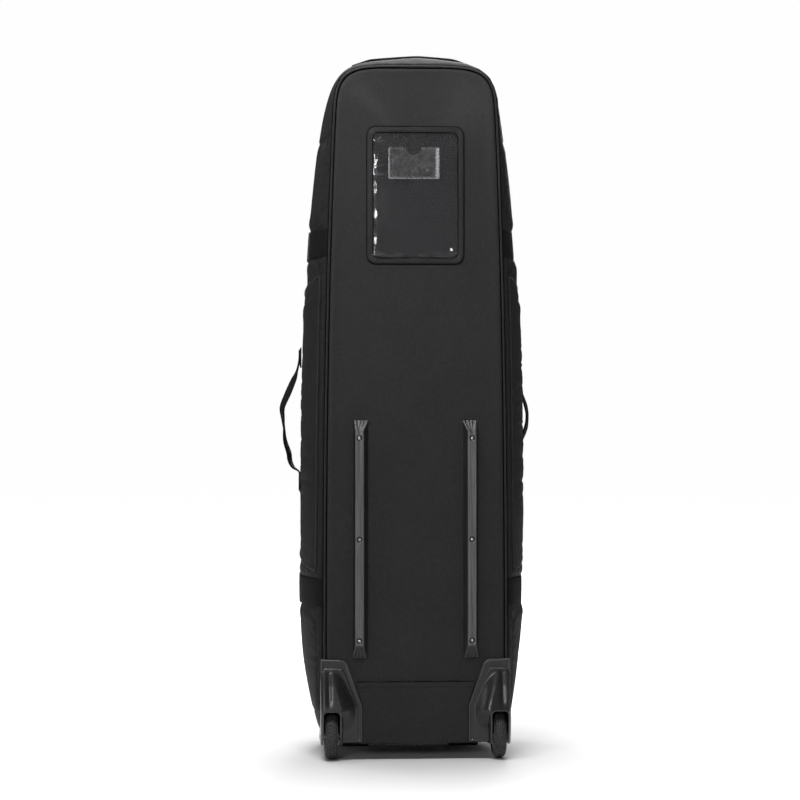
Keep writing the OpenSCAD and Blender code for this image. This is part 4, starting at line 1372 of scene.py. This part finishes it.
socket = solid(socket_field, (0, -8, -29), (9, 32, 29), 0.9)
clip = solid(clip_field, (0, -34, -29), (9, 22, 29), 0.9)
sockets = Shape()
for z0 in STRAPS_Z:
    one = place_on_buckle(socket, z0)
    sockets.merge(one).merge(one.mirrored())
piece("buckle_socket_set", sockets, "buckle", "case", ("buckle_sockets",))
for level, z0 in zip(("lower", "upper"), STRAPS_Z):
    name = level + "_{}_clip"
    pair(name + "_moulding", place_on_buckle(clip, z0), "buckle", name, (name,))

# ---------------------------------------------------------------- side pockets

POCKET_V0, POCKET_V1 = 0.055, 0.78


def pocket_top(v):
    return 896 - 62 * v


def pocket_foot(v):
    return 344 + 62 * v


def pocket_surface(s, k, lift):
    v = POCKET_V0 + (POCKET_V1 - POCKET_V0) * k
    z = pocket_foot(v) + (pocket_top(v) - pocket_foot(v)) * s
    return side_points(z, v, lift)


POCKET_CLOTH_W, POCKET_CLOTH_H = 162, 522
pocket_cloth = relaxed_cloth(POCKET_CLOTH_W, POCKET_CLOTH_H, 6, 0.014)


def build_pocket():
    s = np.concatenate([np.linspace(0, 0.05, 9), np.linspace(0.06, 0.94, 90), np.linspace(0.95, 1, 9)])
    k = np.concatenate([np.linspace(0, 0.06, 8), np.linspace(0.08, 0.92, 44), np.linspace(0.94, 1, 8)])
    ss, kk = np.meshgrid(s, k, indexing="ij")
    swell = (np.sin(np.pi * ss) ** 0.33) * (np.clip(np.sin(np.pi * kk), 0, 1) ** 0.45)
    forward = 1 - 0.82 * ease((kk - 0.18) / 0.42)
    flat = xyz(0, kk * 160, ss * 520)
    slanted = xyz(0, kk * 160 + ss * 180, (ss * 520 - kk * 70) * 0.5)
    wrinkle = 1.5 * noise(slanted, 34, 91) + 0.7 * noise(flat, 14, 92) * np.exp(-((1 - ss) / 0.07))
    wrinkle = wrinkle + 0.6 * noise(flat, 12, 93) * np.exp(-ss / 0.07)
    wrinkle = wrinkle + 1.3 * wrinkles(pocket_cloth, kk * POCKET_CLOTH_W, ss * POCKET_CLOTH_H)
    crease = -1.8 * bell((ss - 0.945) / 0.012) + 1.4 * bell((ss - 0.92) / 0.02) - 1.2 * bell((ss - 0.055) / 0.012)
    lift = 0.9 + swell * (8.4 * forward + 0.75 * wrinkle * ease(swell * 1.5))
    lift = lift + crease * ease(kk * 5) * ease((1 - kk) * 5)
    points, normal = pocket_surface(ss, kk, lift)
    return slab(points, np.maximum(lift * 0.6, 0.8), normal)


for thing in pair("{}_pocket_bag", build_pocket(), "side", "case", ("{}_side_pocket",)):
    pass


def build_pocket_hem():
    ring = [(s, 0.0) for s in np.linspace(0, 1, 130)]
    ring += [(1.0, k) for k in np.linspace(0, 1, 44)[1:]]
    ring += [(s, 1.0) for s in np.linspace(1, 0, 130)[1:]]
    ring += [(0.0, k) for k in np.linspace(1, 0, 44)[1:-1]]
    s, k = np.array(ring).T
    path, _ = pocket_surface(s, k, np.full(len(s), 1.2))
    return tube(path, 1.7 + 0.15 * noise(path, 7, 95), 8, closed=True)


pair("{}_pocket_hem", build_pocket_hem(), "binding", "case")

ZIP_V = 0.815


def build_pocket_zip():
    z = np.linspace(410, 800, 160)
    v = ZIP_V + np.linspace(-9, 9, 9) / SIDE_DEPTH
    vv, zz = np.meshgrid(v, z, indexing="xy")
    points, normal = side_points(zz, vv, 1.2)
    shape = slab(points, 0.8, normal)
    teeth_z = np.arange(412, 798, 1.6)
    for lane in (-1.35, 1.35):
        centre, out = side_points(teeth_z, np.full(len(teeth_z), ZIP_V + lane / SIDE_DEPTH), 1.8)
        path = centre + out * (0.45 * np.cos(np.arange(len(teeth_z)) * math.pi))[:, None]
        shape.merge(tube(path, 1.25, 6))
    return shape


pocket_zips = build_pocket_zip()
pocket_zips.merge(pocket_zips.mirrored())
piece("pocket_zip_chain", pocket_zips, "zip", "case", ("pocket_zips",))

# ---------------------------------------------------------------- handles and patches

HANDLE_X, HANDLE_Y = 209.8, 12.31


def curve(knots, count):
    """A smooth path through knots, evenly spaced."""
    knots = np.asarray(knots, float)
    fine = np.linspace(0, len(knots) - 1, 60 * len(knots))
    k = np.clip(fine.astype(int), 0, len(knots) - 2)
    f = (fine - k)[:, None]
    before, after = knots[np.maximum(k - 1, 0)], knots[np.minimum(k + 2, len(knots) - 1)]
    a, b = knots[k], knots[k + 1]
    m0, m1 = (b - before) / 2, (after - a) / 2
    path = a * (2 * f**3 - 3 * f**2 + 1) + m0 * (f**3 - 2 * f**2 + f)
    path = path + b * (3 * f**2 - 2 * f**3) + m1 * (f**3 - f**2)
    run = path_run(path)
    return read_at(np.linspace(0, run[-1], count), run, path)


RIGHT_GRIP = [
    (210.2, 758), (210.2, 730), (210.4, 706), (212.8, 687), (217, 668), (221.5, 650), (223.5, 635), (222, 618),
    (218, 602), (214.2, 586), (211.2, 570), (210.4, 540), (210.2, 492),
]
LEFT_GRIP = [
    (210.2, 758), (210.3, 744), (212, 732), (214.5, 721), (218, 710), (222.5, 699), (232, 676), (241, 654),
    (242.5, 643), (241, 631), (238.5, 609), (235.5, 586), (228.5, 564), (226.5, 549), (221, 537), (211, 527),
    (210.2, 515), (210.2, 492),
]


def build_grip(knots, twist):
    """A side grip's webbing through knots of [x, z], twisted in its upper and lower half."""
    x, z = curve(knots, 130).T
    share = np.linspace(0, 1, len(x))
    path = xyz(x, HANDLE_Y, z)
    proud = ease((x - 211.5) / 10)
    turn = proud * (twist[0] * bell((share - 0.3) / 0.2) + twist[1] * bell((share - 0.72) / 0.16))
    across = xyz(np.sin(turn), np.cos(turn), 0)
    width = 25 - 4.0 * bell((share - 0.13) / 0.04) - 6.0 * bell((share - 0.87) / 0.045)
    cup = 2.2 * proud * bell((share - 0.7) / 0.25)
    tangent = unit(np.gradient(path, axis=0))
    normal = unit(np.cross(across, tangent))
    column = np.linspace(-1, 1, 15)
    ridge = 0.35 * bell((np.abs(column) - 0.82) / 0.1)
    top = path[:, None] + across[:, None] * (column[None] * width[:, None] / 2)[..., None]
    top = top + normal[:, None] * (1.5 + ridge[None] - cup[:, None] * column[None] ** 2)[..., None]
    return slab(top, 3.0, np.broadcast_to(normal[:, None], top.shape))


def hinged_grip(side, shape):
    thing = piece(f"{side}_grip_webbing", shape, "webbing", None, (f"{side}_handle",))
    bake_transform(thing)


hinged_grip("right", build_grip(RIGHT_GRIP, (0.35, 0.75)))
hinged_grip("left", build_grip(LEFT_GRIP, (0.4, -0.3)).mirrored())


def cross_stitch(centre, half_w, half_h, out, right):
    """The stitched box with a cross that holds a webbing end down."""
    out, right = np.array(out, float), np.array(right, float)
    up = np.cross(out, right)
    c = np.array(centre, float)
    corners = [c + right * a * half_w + up * b * half_h for a, b in ((-1, -1), (1, -1), (1, 1), (-1, 1))]
    shape = Shape()
    for a, b in ((0, 1), (1, 2), (2, 3), (3, 0), (0, 2), (1, 3)):
        line = corners[a] + (corners[b] - corners[a]) * np.linspace(0, 1, 12)[:, None]
        shape.merge(stitches(line, out, 3.6, 2.6, 0.35))
    return shape


def crown_z(x, y):
    """Height of the crown's outer surface above a point."""
    v = (y - SEAM_Y) / (RIM_Y - SEAM_Y)
    heights = []
    for edge in (BACK, MID, FRONT):
        loop = edge_loop(edge)[699:1598]
        order = np.argsort(loop[:, 0])
        heights.append(np.interp(x, loop[order, 0], loop[order, 1]))
    back, middle, front = heights
    return back + (front - back) * v + (middle - (back + front) / 2) * roundness(v) + crown_roof(x, v)


TOW_Y = -14.75


def build_patches():
    shape = Shape()
    for side in (-1, 1):
        for z0 in (505, 744):
            z, y = np.meshgrid(np.linspace(-19, 19, 24), np.linspace(-16.5, 16.5, 20), indexing="ij")
            edge = np.minimum(19 - np.abs(z), 16.5 - np.abs(y))
            lift = 0.1 - 0.6 * np.exp(-edge / 0.9) + 0.3 * bell((edge - 3) / 1.5)
            points = xyz(HANDLE_X - 0.9 + lift, y + HANDLE_Y, z + z0)
            part = slab(points, 1.6, np.broadcast_to((1.0, 0, 0), points.shape))
            part.merge(cross_stitch((HANDLE_X - 0.4, HANDLE_Y, z0), 13.2, 15.5, (1, 0, 0), (0, 1, 0)))
            shape.merge(part if side > 0 else part.mirrored())
        y, x = np.meshgrid(np.linspace(-22, 22, 26), np.linspace(-17, 17, 22), indexing="ij")
        edge = np.minimum(17 - np.abs(x), 22 - np.abs(y))
        z = crown_z(x + side * 96, y + TOW_Y) + 1.9 - 0.6 * np.exp(-edge / 0.9)
        points = xyz(x + side * 96, y + TOW_Y, z)
        normals = grid_normals(points)
        upward = normals * np.where(normals[..., 2:] < 0, -1.0, 1.0)
        shape.merge(slab(points[:, ::-1], 1.6, upward[:, ::-1]))
    return shape


piece("handle_patch_set", build_patches(), "webbing", "case", ("handle_patches",))


def build_tow():
    x = np.concatenate([np.linspace(-112, -70, 26), np.linspace(-68, 68, 50), np.linspace(70, 112, 26)])
    rest = crown_z(x, np.full_like(x, TOW_Y)) + 2.6
    arch = 1312.3 - 7.0 * (np.abs(x - 10) / 92) ** 1.2
    rise = ease((100 - np.abs(x)) / 30)
    z = np.minimum(rest + np.maximum(arch - 1.5 - rest, 0) * rise, 1310.6)
    path = xyz(x, TOW_Y, z)
    column = np.linspace(-1, 1, 17)
    normal = unit(np.cross(unit(np.gradient(path, axis=0)), (0.0, 1.0, 0.0)))
    normal = normal * np.where(normal[:, 2:] < 0, -1, 1)
    half = 19 - 0.6 * bell((np.abs(x) - 88) / 8)
    top = path[:, None] + np.array([0, -1.0, 0]) * (column[None] * half[:, None])[..., None]
    bow = 1.5 + 0.5 * bell((np.abs(column) - 0.86) / 0.09) - 0.7 * np.abs(column) ** 6
    top = top + normal[:, None] * bow[None, :, None]
    return slab(top, 3.0, np.broadcast_to(normal[:, None], top.shape))


tow = piece("tow_grip_webbing", build_tow(), "webbing", None, ("tow_handle",))
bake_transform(tow)

# ---------------------------------------------------------------- inside linings


def build_shell_lining():
    v = np.concatenate([np.linspace(0.0, 0.97, 26), [0.99, 1.0]])
    inner = wall_points(PLACES, v, WALL)
    z = inner[..., 2]
    dip = np.minimum(strap_dip(z, v[None, :]), 0) * ease((np.abs(inner[..., 0]) - 120) / 30)
    inner[..., 0] += np.sign(inner[..., 0]) * dip
    inner = inner + 0.9 * (noise(inner, 40, 101) * np.sin(np.pi * v)[None, :])[..., None] * unit(inner * (1, 0, 0))
    rim = wall_points(PLACES, [1.0], 0.7)
    wall = grid(np.concatenate([inner, rim], 1), wrap_u=True)
    wall = without(wall, lambda x, y, z: abs(x) > 131 and z < 99 and y < -64)
    loop = sample(edge_loop(BACK, WALL), PLACES)
    x, z = np.moveaxis(spine_rings(loop, np.linspace(1, 0, 30))[0], -1, 0)
    back = xyz(x, BACK_Y + 7.0 + 0.5 * cloth_noise(x, z, 60, 102), z)
    cover = without(grid(back, wrap_v=True, flip=True), lambda x, y, z: abs(x) > 133 and z < 99)
    return wall.merge(cover)


shell_lining = piece("shell_lining", build_shell_lining(), "lining", "case")


# ---------------------------------------------------------------- zip, hinge and lid

HINGE_FOOT, HINGE_TOP = 86.0, 1149.0
ZIP_INSET = 1.1


def zip_run(inset, y, keep_hinge=False):
    """The front edge's path from the hinge foot, round the base, up the zip side and over to the
    hinge top, or with keep_hinge the rest of it, at a depth."""
    loop = sample(edge_loop(FRONT, inset), loop_shares(1400))
    on_hinge = (loop[:, 0] < 0) & (loop[:, 1] > HINGE_FOOT) & (loop[:, 1] < HINGE_TOP)
    wanted = on_hinge if keep_hinge else ~on_hinge
    start = int(np.argmax(wanted & ~np.roll(wanted, 1)))
    x, z = np.roll(loop, -start, 0)[np.roll(wanted, -start)].T
    return xyz(x, y, z)


def edge_strip(y0, y1, inset, thick):
    """A strip of tape standing on the front edge between two depths."""
    outer, inner = (np.stack([zip_run(i, y) for y in np.linspace(y0, y1, 7)], 1) for i in (inset, inset + 1))
    return slab(outer, thick, unit(outer - inner))


def coil(y, inset, swing):
    """A zip's teeth as a tube that steps in and out by swing."""
    path = zip_run(inset, y)[::2]
    run = path_run(path)
    path = read_at(np.arange(0, run[-1], 1.7), run, path)
    odd = np.arange(len(path)) % 2
    path[:, 1] += swing * odd
    return tube(path, 1.15 + 0.22 * odd, 6)


def zip_side(tape_low, tape_high, coil_y, swing, name, body, node):
    shape = edge_strip(tape_low, tape_high, ZIP_INSET, 1.5)
    shape.merge(coil(coil_y, ZIP_INSET, swing))
    piece(name, shape, "zip", body, (node,))


zip_side(RIM_Y + 0.4, ZIP_Y - 0.4, ZIP_Y - 1.5, -0.4, "shell_zip_chain", "case", "shell_zip_tape")
zip_side(ZIP_Y + 0.4, LID_Y - 0.1, ZIP_Y + 1.5, 0.4, "lid_zip_chain", "lid", "lid_zip_tape")


def build_hinge_cloth():
    depths = np.linspace(RIM_Y + 0.3, LID_Y - 0.1, 13)
    points = np.stack([zip_run(0.6 + 0.7 * bell((y - ZIP_Y) / 3.5), y, True) for y in depths], 1)
    return slab(points, 1.6, np.broadcast_to((-1.0, 0, 0), points.shape))


hinge = piece(
    "hinge_cloth", build_hinge_cloth(), "side", None, ("shell_hinge_strip", "lid_hinge_strip")
)
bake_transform(hinge)


SKIRT_DEPTH = 13.4
MIDDLE_Z = 640


def build_lid_skirt():
    depth = np.array([0, 0.5, 1.5, 3, 5, 7, 9, 10.5, 11.8, 12.8, SKIRT_DEPTH])
    rows = []
    for d in depth:
        inset = 0.9 - 0.5 * math.sin(math.pi * d / SKIRT_DEPTH)
        inset = inset + 1.4 * math.exp(-d / 0.8) + 1.4 * math.exp(-(SKIRT_DEPTH - d) / 0.9)
        rows.append(loop_path(FRONT, inset, LID_Y + 0.3 + d))
    outer = np.stack(rows, 1)
    ripple = 0.35 * noise(outer, 12, 111) * np.sin(np.pi * depth / SKIRT_DEPTH)[None]
    outer = outer + unit(outer * (1, 0, 1) - (0, 0, MIDDLE_Z)) * ripple[..., None]
    inner = np.stack([loop_path(FRONT, WALL, LID_Y + 0.3 + d) for d in depth[::-1][1:-1:3]], 1)
    return grid(np.concatenate([outer, inner], 1), wrap_u=True, wrap_v=True, flip=True)


lid_skirt = piece(
    "lid_skirt", build_lid_skirt(), "side", "lid", ("lid_side_skirts", "lid_end_skirts")
)


lid_cloth = relaxed_cloth(330, 1240, 8, 0.008)


DOME, DOME_MOST = 21.0, 21.8  # how far the padded lid stands out, without and with its wrinkles


def build_lid_panel():
    x, z, gap = panel_rings(FRONT)
    dome = DOME * (1 - np.exp(-gap / 42)) / (1 - math.exp(-160 / 42))
    rise = dome - 2.6 * bell(gap / 3.2) + bell((gap - 9) / 7)
    pucker = cloth_noise(x, z, 9, 121) + 0.6 * cloth_noise(x, z, 4.6, 122)
    rise = rise + 0.8 * pucker * np.exp(-gap / 18) * ease(gap / 2.5)
    rise = rise + (cloth_noise(x, z, 110, 123) + 0.7 * cloth_noise(x, z * 0.5, 36, 124)) * ease(gap / 30)
    rise = rise + 1.2 * wrinkles(lid_cloth, x + 165, z - 34) * ease(gap / 8)
    return grid(xyz(x, FRONT_Y + np.minimum(rise, DOME_MOST), z), wrap_v=True, flip=True)


lid_panel = piece("lid_panel_cover", build_lid_panel(), "side", "lid", ("lid_panel",))
piece("lid_piping_cord", build_piping(FRONT, FRONT_Y - 2.2), "binding", "lid", ("lid_piping",))


def build_lid_lining():
    loop = sample(edge_loop(FRONT, WALL), PLACES)
    rings, _ = spine_rings(loop, np.concatenate([[1.012, 1.0], np.linspace(0.985, 0, 30)]))
    gap = np.linalg.norm(rings - loop[None], axis=2)
    x, z = np.moveaxis(rings, -1, 0)
    y = LID_Y + 12 + 15 * (1 - np.exp(-gap / 50)) + 0.7 * cloth_noise(x, z, 50, 131)
    y[0] = LID_Y + 12
    return grid(xyz(x, y, z), wrap_v=True)


lid_lining = piece("lid_lining", build_lid_lining(), "lining", "lid")

# ---------------------------------------------------------------- sliders and pullers

SLIDER_Z = {"upper": 720.0, "lower": 678.0}
ZIP_LEAN = math.atan(16 / (SIDE_TOP - 40))


def at_slider(shape, height):
    """Puts a zip part on the leaning zip side at a height."""
    x, y, z = shape.points().T
    c, s = math.cos(ZIP_LEAN), math.sin(ZIP_LEAN)
    return shape.moved(xyz(front_w(height) + x * c - z * s, ZIP_Y + y, height + x * s + z * c))


def slider_field(p):
    x, y, z = p[..., 0], p[..., 1], p[..., 2]
    waist = 6.3 - 2.0 * ease(-z / 11) - 0.6 * bell(z / 4)
    plate = np.maximum(rounded_box(p, (1.5, 0, 0), (2.1, 6.5, 11), 1.3), np.abs(y) - waist)
    plate = smooth_max(plate, -rounded_box(p, (-0.6, 0, 0), (0.9, 3.2, 13), 0.4), 0.3)
    bridge = np.maximum(np.hypot(z / 1.7, x - 3.0) - 4.1, 2.5 - x)
    bridge = np.maximum(bridge, np.abs(np.abs(y) - 3.2) - 0.9)
    pin = rod(p, (5.6, 0, 0), 1, 0.9, 3.6, 0.2)
    return np.minimum(smooth_min(plate, bridge, 0.6), pin)


def puller_field(p):
    y, z = p[..., 1], p[..., 2]
    eye = rod(p, (5.6, 0, 0), 1, 2.3, 1.8, 0.5)
    neck = rounded_box(p, (5.6, 0, -5), (0.8, 1.7, 5.5), 0.6)
    tab = rounded_box(p, (5.6, 0, -21), (1.1, 4.5, 11), 1.0)
    tab = smooth_max(tab, 1.5 - np.hypot(y, (z + 12.5) * 0.8), 0.5)
    tab = smooth_max(tab, -rounded_box(p, (7.1, 0, -23), (0.8, 2.9, 6.4), 0.6), 0.3)
    body = smooth_min(smooth_min(eye, neck, 0.8), tab, 1.0)
    return np.maximum(body, -rod(p, (5.6, 0, 0), 1, 1.4, 6))


slider = solid(slider_field, (-1, -6.5, -11), (8, 6.5, 11), 0.42)
puller = solid(puller_field, (3, -4.5, -32), (8, 4.5, 2.2), 0.42)
for level, z0 in SLIDER_Z.items():
    for part, shape, ending in (("slider", slider, "body"), ("puller", puller, "tab")):
        name = f"{level}_{part}"
        piece(f"{name}_{ending}", at_slider(shape, z0), "zip_metal", name, (name,))


def pocket_slider_field(p):
    x, y, z = p[..., 0], p[..., 1], p[..., 2]
    waist = 4.5 - 1.5 * ease(-z / 9) - 0.4 * bell(z / 4)
    plate = np.maximum(rounded_box(p, (1.2, 0, 0), (1.8, 4.5, 9), 1.1), np.abs(y) - waist)
    bridge = np.maximum(np.abs(np.hypot(z / 1.6, x - 2.4) - 2.9) - 0.6, np.abs(y) - 1.6)
    cord = bar(p, (4.4, 0, -5), (4.4, 0, -31), 1.0)
    tab = rounded_box(p, (4.4, 0, -36.5), (1.4, 2.5, 7.5), 1.2)
    tab = smooth_max(tab, -(np.abs(z + 36.5) - 0.5 + 3 * (np.abs(x - 4.4) < 1.0)), 0.2)
    return np.minimum(smooth_min(plate, bridge, 0.5), smooth_min(cord, tab, 1.0))


POCKET_SLIDER_Z = 770.0


def at_pocket_slider(shape):
    """Puts the pocket slider on the right side, square to the zip under it."""
    a, b, origin = (side_points(POCKET_SLIDER_Z, ZIP_V + d, 0.0)[0] for d in (-0.03, 0.03, 0.0))
    turn = math.atan2(a[0] - b[0], b[1] - a[1])
    c, s = math.cos(turn), math.sin(turn)
    x, y, z = (shape.points() + (3.9, 0, 0)).T
    return shape.moved(origin + xyz(x * c - y * s, x * s + y * c, z))


pocket_slider = at_pocket_slider(solid(pocket_slider_field, (-0.6, -4.5, -44), (6, 4.5, 9), 0.42))
pair(
    "{}_pocket_slider_body", pocket_slider, "zip_metal", "{}_pocket_slider", ("{}_pocket_slider",)
)

# ---------------------------------------------------------------- kept CAD nodes

KEPT = {
    "housing_screws": "steel", "foot_screws": "steel", "board_nuts": "steel", "axles": "steel",
    "axle_spacers": "steel", "left_bearings": "steel", "right_bearings": "steel", "left_wheel_core": "core",
    "right_wheel_core": "core", "back_board": "board", "base_board": "board", "front_feet": "foot",
}
for node, material in KEPT.items():
    thing = next(o for o in bpy.data.objects if o.get("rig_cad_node") and o.name.endswith(node))
    thing.data.materials.clear()
    thing.data.materials.append(M[material])
    if material in ("core", "board", "foot"):
        bevel = thing.modifiers.new("edges", "BEVEL")
        bevel.width, bevel.segments = 0.0008, 3
        bevel.limit_method = "ANGLE"
        bevel.angle_limit = math.radians(35)

# ---------------------------------------------------------------- floor

floor_mesh = bpy.data.meshes.new("floor")
floor_mesh.from_pydata([(-30, -30, 0), (30, -30, 0), (30, 30, 0), (-30, 30, 0)], [], [(0, 1, 2, 3)])
floor = bpy.data.objects.new("floor", floor_mesh)
scene.collection.objects.link(floor)
floor_look = Nodes("pale_floor")
floor_look.set(Base_Color=grey(0.72, 1.0), Roughness=0.75, Specular_IOR_Level=0.1, Emission_Color=(1, 1, 1, 1))
camera_ray = floor_look.add("ShaderNodeLightPath").outputs["Is Camera Ray"]
reach = floor_look.add("ShaderNodeVectorMath", operation="LENGTH")
floor_look.link(floor_look.place, reach.inputs[0])
glow = floor_look.ramp(reach.outputs["Value"], 0.25, 1.7, 0.0, BACKGROUND - FILL * 0.7)
floor_look.link(floor_look.times(camera_ray, glow), floor_look.shader.inputs["Emission Strength"])
floor_mesh.materials.append(floor_look.material)
